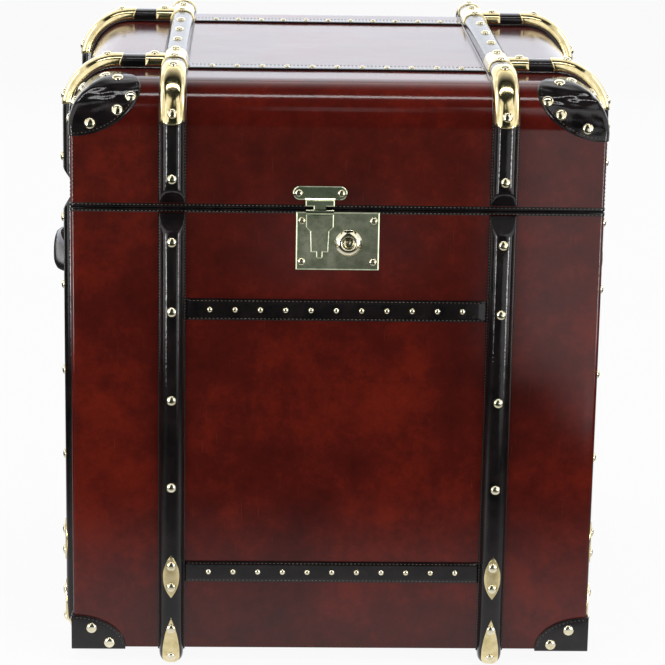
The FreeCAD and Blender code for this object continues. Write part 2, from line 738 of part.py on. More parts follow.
def buildLock():
    halfLock = lockWidth / 2
    top = bodyTop - lockDrop
    plate = block("LockPlateBlank", (-halfLock, halfLock), (plateFront, -halfDepth),
                  (top - lockHeight, top))
    hole = rod("PlugHole", plugRadius + pinClearance, lockPlate * 3,
               (plugX, plateFront - lockPlate, plugZ), (0, 1, 0))
    keep("lock_plate", cut("LockPlate", plate, group("PlateOpenings", [hole, stapleSlot("PlateSlot")])))

    caseTop = top - (lockHeight - lockCaseHeight) / 2
    halfCase = lockCaseWidth / 2
    caseBack = -(innerHalfDepth + lockClearance)
    shell = cut("CaseShell",
                block("CaseBlank", (-halfCase, halfCase), (-halfDepth, caseBack),
                      (caseTop - lockCaseHeight, caseTop)),
                block("CaseRoom", (-(halfCase - lockCaseWall), halfCase - lockCaseWall),
                      (-halfDepth, caseBack - lockCaseWall),
                      (caseTop - lockCaseHeight + lockCaseWall, caseTop - lockCaseWall)))
    guides = []
    for side, low in (("Upper", plugZ + boltHeight / 2 + lockClearance),
                      ("Lower", plugZ - boltHeight / 2 - lockClearance - lockCaseWall * 2)):
        guides.append(block(f"{side}Guide", (boltTip + 1.5, boltTip + 9),
                            (boltFront, caseBack - lockCaseWall), (low, low + lockCaseWall * 2)))
    case = doc.addObject("Part::MultiFuse", "CaseFused")
    case.Shapes = [shell] + guides
    keep("lock_case", cut("LockCase", case, stapleSlot("CaseSlot")))

    # the dished ring round the plug
    body = newBody("Escutcheon")
    bore = plugRadius + pinClearance
    step = escutcheonRadius - escutcheonRim
    ring = [(bore, 0), (escutcheonRadius, 0), (escutcheonRadius, escutcheonRise), (step, escutcheonRise),
            (step, escutcheonRise - escutcheonDish), (bore, escutcheonRise - escutcheonDish)]
    turnedRing(body, "Ring", ring)
    bind(body, "Placement.Base.x", plugX)
    bind(body, "Placement.Base.y", plateFront)
    bind(body, "Placement.Base.z", plugZ)
    keep("escutcheon", body)

    # the plug: a drum with a pin key way in its face and a crank pin behind
    body = newBody("Plug")
    drumFront = escutcheonRise - escutcheonDish
    drumBack = -(boltFront - plateFront - lockClearance)
    keyway = plugRadius - 1.5
    profile = [(0, drumBack), (plugRadius, drumBack), (plugRadius, drumFront), (keyway, drumFront),
               (keyway, drumFront - 3), (plugPinRadius, drumFront - 3), (plugPinRadius, drumFront - 0.4),
               (0, drumFront - 0.4)]
    turnedRing(body, "Drum", profile)
    placeAt(body, plugX, plateFront, plugZ)
    halfOrbit = plugPinOrbit
    crank = rod("CrankPin", plugPinRadius, boltThickness + lockClearance,
                (plugX + halfOrbit, boltFront - lockClearance, plugZ - halfOrbit), (0, 1, 0))
    plug = doc.addObject("Part::MultiFuse", "PlugFused")
    plug.Shapes = [body, crank]
    keep("key_plug", plug)

    # the bolt: a bar through the guides and a tail with the slot for the crank pin
    halfBar = boltHeight / 2
    slotHalf = plugPinRadius + lockClearance * 1.5
    tailX = (plugX + halfOrbit - slotHalf - 2.4, plugX + halfOrbit + slotHalf + 2.4)
    bar = block("BoltBar", (boltTip, tailX[1]), (boltFront, boltBack), (plugZ - halfBar, plugZ + halfBar))
    tailLow = plugZ - plugPinOrbit * 2.1
    tail = block("BoltTail", tailX, (boltFront, boltBack), (tailLow - 1.6, plugZ + halfBar))
    blank = doc.addObject("Part::MultiFuse", "BoltBlank")
    blank.Shapes = [bar, tail]
    slot = block("BoltSlot", (plugX + halfOrbit - slotHalf, plugX + halfOrbit + slotHalf),
                 (boltFront - 1, boltBack + 1), (tailLow, plugZ - plugPinOrbit * 0.5))
    keep("lock_bolt", cut("Bolt", blank, slot))


boltTip = haspX + stapleThickness / 2 + slotClearance + 0.3


def turnedRing(body, name, profile):
    """A turned piece whose axis points out of the front: profile is (radius, height)."""
    drawing = sketch(body, name + "_profile", "XY_Plane",
                     [(asSize(point[0]), -asSize(point[1])) + tuple(point[2:]) for point in profile])
    feature = body.newObject("PartDesign::Revolution", name + "_turn")
    feature.Profile = drawing
    feature.ReferenceAxis = (drawing, ["V_Axis"])
    feature.Angle = 360
    return feature


# ---------------------------------------------------------------- hasp


def buildHasp():
    # the plate on the lid: an oblong, a stepped bar below it and the middle knuckle
    plateLow = bodyTop + haspPlateLift
    plateHigh = plateLow + haspPlateHeight
    halfPlate = haspPlateLength / 2
    rounding = haspPlateHeight / 2 - 0.1
    oblong = prism("HaspOblong", "XZ_Plane",
                   [(haspX - halfPlate, plateLow, rounding), (haspX + halfPlate, plateLow, rounding),
                    (haspX + halfPlate, plateHigh, rounding), (haspX - halfPlate, plateHigh, rounding)],
                   halfDepth, haspThickness)
    halfHasp = haspWidth / 2 + 0.5
    halfKnuckle = haspKnuckle / 2
    bar = block("HaspBar", (haspX - halfHasp, haspX + halfHasp),
                (haspAxisY - haspKnuckleRadius / 2, -halfDepth), (plateLow - 5.4, plateLow + 0.5))
    neck = block("HaspNeck", (haspX - halfKnuckle, haspX + halfKnuckle),
                 (haspAxisY - haspKnuckleRadius / 2, haspAxisY + haspKnuckleRadius / 2),
                 (haspAxisZ, plateLow - 5))
    knuckle = rod("HaspMiddleKnuckle", haspKnuckleRadius, haspKnuckle,
                  (haspX - halfKnuckle, haspAxisY, haspAxisZ), (1, 0, 0))
    solid = doc.addObject("Part::MultiFuse", "HaspPlateFused")
    solid.Shapes = [oblong, bar, neck, knuckle]
    bore = rod("HaspPlateBore", haspPinRadius + pinClearance, haspWidth,
               (haspX - haspWidth / 2, haspAxisY, haspAxisZ), (1, 0, 0))
    keep("hasp_plate", cut("HaspPlate", solid, bore))
    keep("hasp_pin", rod("HaspPin", haspPinRadius, haspWidth,
                         (haspX - haspWidth / 2, haspAxisY, haspAxisZ), (1, 0, 0)))

    # the leaf: shoulders, a tapering tongue, a finger tab and the staple behind
    low = haspAxisZ - haspLeafLength
    tip = low - haspTabLength
    wide = haspWidth / 2
    narrow = haspTongueWidth / 2
    tab = haspTabWidth / 2
    shoulder = haspAxisZ - haspShoulder
    outline = [(haspX - wide, haspAxisZ - haspKnuckleRadius), (haspX - wide, shoulder + 3),
               (haspX - narrow - 0.8, shoulder - 1), (haspX - narrow, low),
               (haspX - tab, low), (haspX - tab, tip, 1.5), (haspX + tab, tip, 1.5), (haspX + tab, low),
               (haspX + narrow, low), (haspX + narrow + 0.8, shoulder - 1),
               (haspX + wide, shoulder + 3), (haspX + wide, haspAxisZ - haspKnuckleRadius)]
    leaf = prism("HaspSheet", "XZ_Plane", outline, -leafBack, haspThickness)
    pieces = [leaf]
    gap = lockClearance / 2
    for side, start in (("Left", haspX - wide), ("Right", haspX + halfKnuckle + gap)):
        length = wide - halfKnuckle - gap
        pieces.append(rod(f"Hasp{side}Knuckle", haspKnuckleRadius, length,
                          (start, haspAxisY, haspAxisZ), (1, 0, 0)))
        pieces.append(block(f"Hasp{side}Lug", (start, start + length),
                            (haspAxisY + haspKnuckleRadius - haspThickness, haspAxisY + haspKnuckleRadius),
                            (haspAxisZ - haspKnuckleRadius - 1, haspAxisZ)))
    halfStaple = stapleThickness / 2
    staple = block("StapleBlank", (haspX - halfStaple, haspX + halfStaple), (leafBack - 0.5, stapleTip),
                   (stapleLow, stapleLow + stapleHeight))
    eye = block("StapleEye", (haspX - 5, haspX + 5), (boltFront - 0.6, boltBack + 0.6),
                (plugZ - stapleEye / 2, plugZ + stapleEye / 2))
    pieces.append(cut("Staple", staple, eye))
    solid = doc.addObject("Part::MultiFuse", "HaspLeafFused")
    solid.Shapes = pieces
    bore = rod("HaspLeafBore", haspPinRadius + pinClearance, haspWidth, (haspX - wide, haspAxisY, haspAxisZ),
               (1, 0, 0))
    keep("hasp_leaf", cut("HaspLeaf", solid, bore))


# ---------------------------------------------------------------- lid hinges

hingeY = halfDepth + hingeBarrelRadius + 0.1
hingeZ = bodyTop + seamGap / 2


def hingeHalf(name, middle, direction, knuckles):
    """One leaf with its knuckles: direction is +1 for the lid's leaf and -1 for the body's."""
    knuckle = hingeWidth / 3
    start = middle - hingeWidth / 2
    gap = lockClearance / 2
    edge = hingeZ + (hingeBarrelRadius + 0.6) * direction
    far = hingeZ + hingeLeafHeight * direction
    span = (edge, far) if direction > 0 else (far, edge)
    pieces = [block(name + "Leaf", (start, start + hingeWidth), (halfDepth, halfDepth + hingeLeaf), span)]
    for index in knuckles:
        low = start + knuckle * index + (gap if index else 0)
        high = start + knuckle * (index + 1) - (gap if index < 2 else 0)
        pieces.append(rod(f"{name}Knuckle{index}", hingeBarrelRadius, high - low,
                          (low, hingeY, hingeZ), (1, 0, 0)))
        reach = (hingeZ, edge + 0.5) if direction > 0 else (edge - 0.5, hingeZ)
        pieces.append(block(f"{name}Web{index}", (low, high),
                            (halfDepth + 0.1, halfDepth + hingeLeaf), reach))
    solid = doc.addObject("Part::MultiFuse", name + "Fused")
    solid.Shapes = pieces
    bore = rod(name + "Bore", hingePinRadius + pinClearance, hingeWidth, (start, hingeY, hingeZ), (1, 0, 0))
    return cut(name, solid, bore)


def buildHinges():
    middle = hingePairWidth / 2
    keep("lower_hinge_leaves", pair("LowerLeaves", hingeHalf("LowerLeaf", middle, -1, (0, 2))))
    keep("upper_hinge_leaves", pair("UpperLeaves", hingeHalf("UpperLeaf", middle, 1, (1,))))
    pin = rod("HingePin", hingePinRadius, hingeWidth, (middle - hingeWidth / 2, hingeY, hingeZ), (1, 0, 0))
    keep("hinge_pins", pair("HingePins", pin))


# ---------------------------------------------------------------- handles


def buildHandles():
    """A stiff arched leather grip that swings on two pinned brackets, on the side facing +Y."""
    level = footHeight + upperStrapHeight
    half = halfWidth
    halfLength = handleLength / 2
    bendX = handleLength * 0.3
    inner = half + handleReach - handleThickness
    endBack = half + handlePivot - handleEndThickness / 2
    endFront = endBack + handleEndThickness
    plan = [(-halfLength, endBack), (handleEndThickness - halfLength, endBack), (-bendX, inner),
            (bendX, inner), (halfLength - handleEndThickness, endBack), (halfLength, endBack),
            (halfLength, endFront), (bendX, half + handleReach, handleBend),
            (-bendX, half + handleReach, handleBend), (-halfLength, endFront)]
    arch = prism("HandleArch", "XY_Plane", plan, level - handleHeight, handleHeight * 2)
    halfEnd = handleEndHeight / 2
    halfMiddle = handleHeight / 2
    front = [(-halfLength, level - halfEnd), (-bendX, level - halfMiddle), (bendX, level - halfMiddle),
             (halfLength, level - halfEnd), (halfLength, level + halfEnd), (bendX, level + halfMiddle),
             (-bendX, level + halfMiddle), (-halfLength, level + halfEnd)]
    face = prism("HandleFace", "XZ_Plane", front, -(half + handleReach * 2), handleReach * 2)
    # the back leans away above and below the pins, which lets the grip swing clear of the nails
    back = half + handleBack
    side = [(back, level), (back + handleBackLean, level - halfMiddle),
            (half + handleEdgeReach, level - halfMiddle), (half + handleReach, level - halfMiddle * 0.25),
            (half + handleEdgeReach, level + halfMiddle), (back + handleBackLean, level + halfMiddle)]
    bulge = prism("HandleBulge", "YZ_Plane", side, -halfLength, handleLength)
    grip = common("HandleGrip", common("HandleForm", arch, face), bulge)
    pivotY = half + handlePivot
    bore = rod("HandleBore", handlePinRadius + pinClearance, handleLength + 2,
               (-(halfLength + 1), pivotY, level), (1, 0, 0))
    gripLength = handlePinLength + lockClearance
    core = rod("HandleCore", handlePinRadius * 2, handleLength - gripLength * 2,
               (-(halfLength - gripLength), pivotY, level), (1, 0, 0))
    handle = cut("Handle", grip, cut("HandlePinHoles", bore, core))

    ear = halfLength + battenClearance
    base = half + strapThickness
    foot = block("BracketFoot", (ear, ear + bracketFoot), (base, base + bracketThickness),
                 (level - halfEnd, level + halfEnd))
    upright = prism("BracketEar", "YZ_Plane",
                    [(base, level - halfEnd), (pivotY + handlePinRadius * 2, level - halfEnd / 2),
                     (pivotY + handlePinRadius * 2, level + halfEnd / 2), (base, level + halfEnd)],
                    ear, bracketThickness)
    pin = rod("BracketPin", handlePinRadius, handlePinLength + battenClearance + 1,
              (halfLength - handlePinLength, pivotY, level), (1, 0, 0))
    bracket = doc.addObject("Part::MultiFuse", "Bracket")
    bracket.Shapes = [foot, upright, pin]
    brackets = pair("BracketPair", bracket)
    for side, quarterTurns in (("left", 1), ("right", 3)):
        keep(f"{side}_handle", group(side + "Handle", [handle], quarterTurns))
        keep(f"{side}_handle_brackets", group(side + "Brackets", [brackets], quarterTurns))


# ---------------------------------------------------------------- nails and screws


def nailHead(width, rise, flat):
    """A domed head with few faces: a hexagon that narrows to a flat, or to a point where flat is 0."""
    ring = [Vector(width / 2 * math.cos(math.pi * step / 3), width / 2 * math.sin(math.pi * step / 3), 0)
            for step in range(6)]
    crown = [corner * flat + Vector(0, 0, rise) for corner in ring]
    outlines = [ring]
    for step in range(6):
        after = (step + 1) % 6
        outlines.append([ring[step], ring[after]] + ([crown[after], crown[step]] if flat else [crown[0]]))
    if flat:
        outlines.append(crown)
    faces = [Part.Face(Part.makePolygon(outline + outline[:1])) for outline in outlines]
    return Part.Solid(Part.Shell(faces))


def headsAt(places, width, rise, flat=0):
    """Copies of one head at (x, y, z, outward direction)."""
    head = nailHead(width, rise, flat)
    heads = []
    for x, y, z, out in places:
        copy = head.copy()
        copy.Placement = Placement(Vector(x, y, z), Rotation(Vector(0, 0, 1), Vector(*out)))
        heads.append(copy)
    return heads


def turnedPlaces(places, quarterTurns):
    """Places on the side that faces +Y, carried round to another side."""
    rotation = Rotation(Vector(0, 0, 1), 90 * quarterTurns)
    result = []
    for x, y, z, out in places:
        spot = rotation.multVec(Vector(x, y, z))
        result.append((spot.x, spot.y, spot.z, tuple(rotation.multVec(Vector(*out)))))
    return result


def bothWays(places):
    return places + [(-x, y, z, (-out[0], out[1], out[2])) for x, y, z, out in places]


sideTurns = {"back": 0, "left": 1, "front": 2, "right": 3}


def evenRow(reach, pitch):
    """Places either side of a middle one, as many as reach holds."""
    count = math.floor(reach / pitch)
    return [step * pitch for step in range(-count, count + 1)]


def buildNails():
    bodyNails = []
    lidNails = []
    strapNails = []
    lidStrapNails = []
    foot = footHeight.value
    seam = bodyTop.value
    crest = lidTop.value
    radius = edgeRadius.value
    reach = topCornerReach.value
    # nothing is nailed under the feet of the handle brackets
    footStart = (handleLength / 2 + battenClearance - strapNailWidth / 2 - faceGap).value
    footEnd = (handleLength / 2 + battenClearance + bracketFoot + strapNailWidth / 2 + faceGap).value
    for side, quarterTurns in sideTurns.items():
        isLong = side in ("front", "back")
        half = (halfDepth if isLong else halfWidth).value
        corner = (halfWidth if isLong else halfDepth).value
        across = (longSpacing if isLong else crossSpacing).value / 2
        rise = (longRise if isLong else crossRise).value
        crown = half + rise
        lens = foot + lensHeight.value
        level = seam - tongueLength.value - nailInset.value - 2
        places = [(across, crown, level, (0, 1, 0))]
        level = seam - upperStrapDrop.value
        while level > lens + lensLength.value / 2 + nailInset.value:
            places.append((across, crown, level, (0, 1, 0)))
            level -= battenNailPitch.value
        plated = crown + plateThickness.value
        for height in (lens - lensLength.value / 4, lens + lensLength.value / 4,
                       foot + footPlateTop.value - nailInset.value * 1.8):
            places.append((across, plated, height, (0, 1, 0)))
        toe = math.radians(18)
        wrapped = rise + plateThickness.value
        places.append((across, half + wrapped * math.cos(toe), foot - wrapped * math.sin(toe),
                       (0, math.cos(toe), -math.sin(toe))))
        bodyNails += turnedPlaces(bothWays(places), quarterTurns)

        skin = half + cornerThickness.value
        places = [(corner - lowCornerReach.value * along, skin, foot + lowCornerHeight.value * up, (0, 1, 0))
                  for along, up in ((0.35, 0.6), (0.69, 0.15))]
        bodyNails += turnedPlaces(bothWays(places), quarterTurns)

        places = [(across, crown, seam + (lidBattenGap + rampLength + nailInset).value, (0, 1, 0))]
        capped = radius + rise + capThickness.value
        for angle in (12, capAngle.value - 6):
            slope = math.radians(angle)
            places.append((across, half - radius + capped * math.sin(slope),
                           crest - radius + capped * math.cos(slope), (0, math.sin(slope), math.cos(slope))))
        rounded = radius + cornerThickness.value
        for share, angle in ((0.6, 14), (0.78, 50), (0.61, 68)):
            slope = math.radians(angle)
            places.append((corner - reach * share, half - radius + rounded * math.sin(slope),
                           crest - radius + rounded * math.cos(slope),
                           (0, math.sin(slope), math.cos(slope))))
        places.append((corner - reach * 0.26, skin, crest - (reach - topCornerLift.value) * 0.75, (0, 1, 0)))
        lidNails += turnedPlaces(bothWays(places), quarterTurns)

        row = evenRow(across - (halfBatten + strapNailMargin).value, strapNailPitch.value)
        for height in (upperStrapHeight.value, lowerStrapHeight.value):
            underBracket = not isLong and height == upperStrapHeight.value
            places = [(spot, half + strapThickness.value, foot + height, (0, 1, 0)) for spot in row
                      if not (underBracket and footStart < abs(spot) < footEnd)]
            strapNails += turnedPlaces(places, quarterTurns)

    bandTop = crest + longRise.value + capThickness.value
    wingTop = crest + crossRise.value + capThickness.value
    bandX = longSpacing.value / 2
    bandY = crossSpacing.value / 2
    wingX = bandX + halfBatten.value + saddleWing.value * 0.45
    for sideX in (-1, 1):
        for sideY in (-1, 1):
            for offset in (-1, 1):
                along = saddleLength.value / 2 - nailInset.value
                lidNails.append((sideX * bandX, sideY * bandY + offset * along, bandTop, (0, 0, 1)))
            lidNails.append((sideX * wingX, sideY * bandY, wingTop, (0, 0, 1)))
        for share in (-0.425, 0, 0.425):
            lidNails.append((sideX * bandX, bandY * share, crest + longRise.value, (0, 0, 1)))
    for sideY in (-1, 1):
        for spot in evenRow(bandX - (halfBatten + strapNailMargin).value, strapNailPitch.value):
            lidStrapNails.append((spot, sideY * bandY, crest + strapThickness.value, (0, 0, 1)))

    large = (nailWidth.value, nailRise.value)
    small = (strapNailWidth.value, strapNailRise.value)
    nodes = {"body_nails": headsAt(bodyNails, *large),
             "strap_nails": headsAt(strapNails, *small),
             "lid_nails": headsAt(lidNails, *large) + headsAt(lidStrapNails, *small)}

    plate = plateFront.value
    lockTop = (bodyTop - lockDrop).value
    lockScrewX = (lockWidth / 2 - screwInset).value
    screws = [(side * lockScrewX, plate, lockTop - drop, (0, -1, 0)) for side in (-1, 1)
              for drop in (lockScrewDrop.value, (lockHeight - lockScrewDrop).value)]
    leafFace = halfDepth.value + hingeLeaf.value
    hingeX = hingePairWidth.value / 2
    spread = (hingeWidth / 2 - screwInset * 1.3).value
    bodyLeaf = hingeZ.value - hingeLeafHeight.value * 0.62
    lidLeaf = hingeZ.value + hingeLeafHeight.value * 0.62
    hingeRows = [[(side * hingeX + offset, leafFace, level, (0, 1, 0)) for side in (-1, 1)
                  for offset in (-spread, 0, spread)] for level in (bodyLeaf, lidLeaf)]
    haspFace = -(halfDepth + haspThickness).value
    haspLevel = (bodyTop + haspPlateLift + haspPlateHeight / 2).value
    haspSpread = (haspPlateLength / 2 - screwInset).value
    haspRow = [(haspX.value + offset, haspFace, haspLevel, (0, -1, 0))
               for offset in (-haspSpread, haspSpread)]
    size = (screwWidth.value, screwRise.value, 0.7)
    nodes["body_screws"] = headsAt(screws + hingeRows[0], *size)
    nodes["lid_screws"] = headsAt(hingeRows[1] + haspRow, *size)
    for node, heads in nodes.items():
        item = doc.addObject("Part::Feature", node)
        item.Shape = Part.makeCompound(heads)
        item.Placement = Placement()
        keep(node, item)


# ---------------------------------------------------------------- build, check and write

buildCarcass()
buildLidShell()
buildCorners()
buildBattens()
buildStraps()
buildLock()
buildHasp()
buildHinges()
buildHandles()
buildNails()
doc.recompute()

problems = [f"{item.Name}: {item.State}" for item in doc.Objects
            if "Invalid" in item.State or "Error" in item.State]
for node, item in subparts.items():
    if item.Shape.isNull() or not item.Shape.isValid() or not item.Shape.Solids:
        problems.append(f"{node}: no sound solid")
if problems:
    raise RuntimeError("; ".join(problems))

os.makedirs("parts", exist_ok=True)
for node, item in subparts.items():
    item.Shape.exportStep(f"parts/{node}.step")
print(len(subparts), "sub-parts written")
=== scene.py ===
import json
import math
import bmesh
import bpy
import numpy as np
from mathutils import Matrix, Vector, noise

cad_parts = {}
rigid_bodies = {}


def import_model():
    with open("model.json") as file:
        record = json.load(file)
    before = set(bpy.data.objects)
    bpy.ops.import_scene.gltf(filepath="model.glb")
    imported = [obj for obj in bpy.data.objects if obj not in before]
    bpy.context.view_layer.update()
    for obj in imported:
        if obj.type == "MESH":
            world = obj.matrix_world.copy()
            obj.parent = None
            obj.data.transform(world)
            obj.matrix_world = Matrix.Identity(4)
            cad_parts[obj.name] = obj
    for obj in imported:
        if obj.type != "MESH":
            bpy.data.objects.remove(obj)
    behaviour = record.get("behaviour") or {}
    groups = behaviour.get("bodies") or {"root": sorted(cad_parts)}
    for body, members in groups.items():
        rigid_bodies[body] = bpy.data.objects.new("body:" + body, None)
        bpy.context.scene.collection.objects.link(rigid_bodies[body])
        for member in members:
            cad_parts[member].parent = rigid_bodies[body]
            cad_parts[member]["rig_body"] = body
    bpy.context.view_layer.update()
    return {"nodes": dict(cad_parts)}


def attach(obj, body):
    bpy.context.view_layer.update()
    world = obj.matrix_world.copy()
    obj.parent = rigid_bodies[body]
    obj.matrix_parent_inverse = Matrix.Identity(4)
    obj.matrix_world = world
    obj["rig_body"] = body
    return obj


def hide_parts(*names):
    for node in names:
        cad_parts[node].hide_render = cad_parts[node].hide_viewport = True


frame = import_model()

# A leather-covered trunk with brass fittings. Builders work in millimetres and meshes are in metres.

nodes = frame["nodes"]
mm = 0.001
left, front, right, back = 1, 2, 3, 0   # quarter turns from the side that faces +Y

trunk = {"half": 250, "foot": 14, "seam": 451, "lidBottom": 451.4, "lidTop": 568, "edgeRadius": 41,
         "battenAcross": 155, "longRise": 14, "crossRise": 12.5}
halfCase, foot, seam, lidTop, edgeRadius, across = (
    trunk[field] for field in ("half", "foot", "seam", "lidTop", "edgeRadius", "battenAcross"))
edgeCentre = halfCase - edgeRadius
edgeArc = edgeRadius * math.pi / 2
sides = (("front", front, trunk["longRise"]), ("back", back, trunk["longRise"]),
         ("left", left, trunk["crossRise"]), ("right", right, trunk["crossRise"]))


# meshes

def newStock():
    return {"points": [], "faces": []}


def turned(point, turns):
    x, y, z = point
    for _ in range(turns):
        x, y = -y, x
    return (x, y, z)


def spread(low, high, cell, extra=()):
    # even stations from low to high about a cell apart, with the extra ones among them
    count = max(round((high - low) / cell), 1)
    spots = {low + (high - low) * step / count for step in range(count + 1)}
    return sorted(spots | {spot for spot in extra if low < spot < high})


def addGrid(stock, rows, loop=False, skip=None, close=False):
    # rows of points joined by quads, each row closed on itself where it loops
    start = len(stock["points"])
    width = len(rows[0])
    for row in rows:
        stock["points"].extend(tuple(point) for point in row)
    for i in range(len(rows) if close else len(rows) - 1):
        for j in range(width if loop else width - 1):
            if skip and skip(i, j):
                continue
            k = (j + 1) % width
            low = start + i * width
            high = start + (i + 1) % len(rows) * width
            stock["faces"].append((low + j, low + k, high + k, high + j))
    return start


def addLoft(stock, rings):
    # rings of points joined into a solid with flat ends
    start = addGrid(stock, rings, loop=True)
    width = len(rings[0])
    for first in (start, start + (len(rings) - 1) * width):
        stock["faces"].append(tuple(range(first, first + width)))


def addSheet(stock, place, columns, rows, length, breadth, thickness, rim=0.9, sink=0.3):
    # a thin plate with a rounded rim: place(u, v, off) gives a point for u and v from 0 to 1
    def steps(count, size):
        share = min(rim / size, 0.3)
        lip = [(0, -sink), (0, 0.45 * thickness), (share * 0.35, 0.85 * thickness)]
        flat = [(share + (1 - 2 * share) * step / count, thickness) for step in range(count + 1)]
        return lip + flat + [(1 - spot, off) for spot, off in reversed(lip)]

    us = steps(columns, breadth)
    vs = steps(rows, length)
    addGrid(stock, [[place(u, v, min(offU, offV)) for u, offU in us] for v, offV in vs])
    addGrid(stock, [[place(u, v, -sink) for u, _ in us] for v, _ in vs])


def weldedShell(mesh, reach):
    shell = bmesh.new()
    shell.from_mesh(mesh)
    bmesh.ops.remove_doubles(shell, verts=shell.verts, dist=reach)
    return shell


def makePiece(name, stock, finish, node=None, body=None, sharp=35):
    mesh = bpy.data.meshes.new(name)
    mesh.from_pydata([Vector(point) * mm for point in stock["points"]], [], stock["faces"])
    shell = weldedShell(mesh, 1e-6)
    bmesh.ops.dissolve_degenerate(shell, edges=shell.edges, dist=1e-7)
    bmesh.ops.recalc_face_normals(shell, faces=shell.faces)
    addPiece(name, mesh, shell, finish, node, body, sharp)


def addPiece(name, mesh, shell, finish, node, body=None, sharp=35):
    # what replaces a CAD node rides on that node's body
    shell.to_mesh(mesh)
    shell.free()
    mesh.materials.append(finish)
    mesh.polygons.foreach_set("use_smooth", [True] * len(mesh.polygons))
    mesh.set_sharp_from_angle(angle=math.radians(sharp))
    piece = bpy.data.objects.new(name, mesh)
    bpy.context.scene.collection.objects.link(piece)
    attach(piece, body or nodes[node]["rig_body"])
    if node:
        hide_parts(node)


easing = {"sharpAngle": 28, "faceArea": 4e-5, "facing": 0.999}   # broad faces, in square metres


def eased(node, name, finish, width, segments=2, lean=1.0, shortest=0.0, join=0.0):
    # a hard CAD part with its machined edges eased; a lean under 1 flattens the bevels of its front faces
    def isBroad(face, away):
        return away > easing["facing"] and face.calc_area() > easing["faceArea"]

    wide = width * mm
    levels = set()
    shell = weldedShell(nodes[node].data, 2e-6)
    bmesh.ops.dissolve_limit(shell, angle_limit=math.radians(0.6), verts=shell.verts, edges=shell.edges)
    if join:
        # tiny corner roundings become one vertex, so that a wider bevel fits
        rim = {vert for face in shell.faces if isBroad(face, abs(face.normal.y)) for vert in face.verts}
        bmesh.ops.remove_doubles(shell, verts=[vert for vert in shell.verts if vert in rim], dist=join * mm)
    bmesh.ops.recalc_face_normals(shell, faces=shell.faces)
    edges = [edge for edge in shell.edges
             if len(edge.link_faces) == 2 and edge.calc_face_angle() > math.radians(easing["sharpAngle"])]
    if lean < 1:
        fronts = [face for face in shell.faces if isBroad(face, -face.normal.y)]
        levels = {round(face.calc_center_median().y, 5) for face in fronts}
        edges = [edge for edge in edges
                 if edge.calc_length() > shortest * mm and any(face in fronts for face in edge.link_faces)]
    bmesh.ops.bevel(shell, geom=edges, offset=wide, offset_type="OFFSET", segments=segments,
                    profile=0.5, affect="EDGES", clamp_overlap=lean == 1, harden_normals=False)
    for vert in shell.verts:
        if any(abs(vert.co.y - level - wide) < 5e-5 for level in levels):
            vert.co.y -= width * (1 - lean) * mm
    shell.faces.index_update()
    flat = [face.index for face in shell.faces
            if any(all(-1e-4 < vert.co.y - level < wide for vert in face.verts) for level in levels)]
    mesh = bpy.data.meshes.new(name)
    addPiece(name, mesh, shell, finish, node, sharp=20 if lean < 1 else 35)
    for number in flat:
        mesh.polygons[number].use_smooth = False


# stitches

stitch = {"pitch": 3.7, "length": 2.7, "width": 0.75, "height": 0.42, "root": 0.3, "sink": 0.1}
spindle = ((0, 2, 4), (0, 4, 3), (0, 3, 5), (0, 5, 2), (1, 4, 2), (1, 3, 4), (1, 5, 3), (1, 2, 5))
bodyStitches = newStock()
lidStitches = newStock()


def addStitches(stock, path, size=1.0):
    # path is (point, outward direction) pairs: the thread lies along it in short spindles
    length, width, height = (stitch[field] * size for field in ("length", "width", "height"))
    spots = [Vector(point) for point, _ in path]
    outs = [Vector(out) for _, out in path]
    runs = [(after - before).length for before, after in zip(spots, spots[1:])]
    total = sum(runs)
    count = max(int(total / (stitch["pitch"] * size)), 1)
    place = 0
    passed = 0
    for number in range(count):
        middle = (number + 0.5) * total / count
        while place < len(runs) - 1 and passed + runs[place] < middle:
            passed += runs[place]
            place += 1
        share = (middle - passed) / max(runs[place], 1e-9)
        spot = spots[place].lerp(spots[place + 1], share)
        out = outs[place].lerp(outs[place + 1], share).normalized()
        along = (spots[place + 1] - spots[place]).normalized()
        reach = along * length / 2
        aside = along.cross(out) * width / 2
        start = len(stock["points"])
        stock["points"].extend(tuple(point) for point in (
            spot - reach - out * stitch["sink"], spot + reach - out * stitch["sink"],
            spot - aside, spot + aside, spot + out * height, spot - out * stitch["root"]))
        stock["faces"].extend(tuple(start + point for point in face) for face in spindle)


def sewSide(stock, ends, turns, size=1.0):
    # a straight seam on the side that faces +Y, taken round to another side
    addStitches(stock, [(turned(end, turns), turned((0, 1, 0), turns)) for end in ends], size)


# materials


def linear(hexColour):
    # sRGB hex to linear light
    parts = [int(hexColour[place:place + 2], 16) / 255 for place in (1, 3, 5)]
    lights = [part / 12.92 if part <= 0.04045 else ((part + 0.055) / 1.055) ** 2.4 for part in parts]
    return (*lights, 1)


def addNode(tree, kind, inputs=None, stops=(), **settings):
    # an input is a value, a socket, or a node whose first output is meant
    # stops are a colour ramp's places and colours
    node = tree.nodes.new("ShaderNode" + kind)
    for field, value in settings.items():
        setattr(node, field, value)
    if stops:
        marks = node.color_ramp.elements
        marks[0].position, marks[1].position = stops[0][0], stops[-1][0]
        for spot, _ in stops[1:-1]:
            marks.new(spot)
        for mark, (_, colour) in zip(marks, stops):
            mark.color = linear(colour)
    for socket, value in (inputs or {}).items():
        if isinstance(value, bpy.types.Node):
            value = value.outputs[0]
        if isinstance(value, bpy.types.NodeSocket):
            tree.links.new(value, node.inputs[socket])
        else:
            node.inputs[socket].default_value = value
    return node


def newMaterial(name):
    material = bpy.data.materials.new(name)
    material.use_nodes = True
    tree = material.node_tree
    tree.nodes.clear()
    return material, tree, addNode(tree, "TexCoord").outputs["Object"]


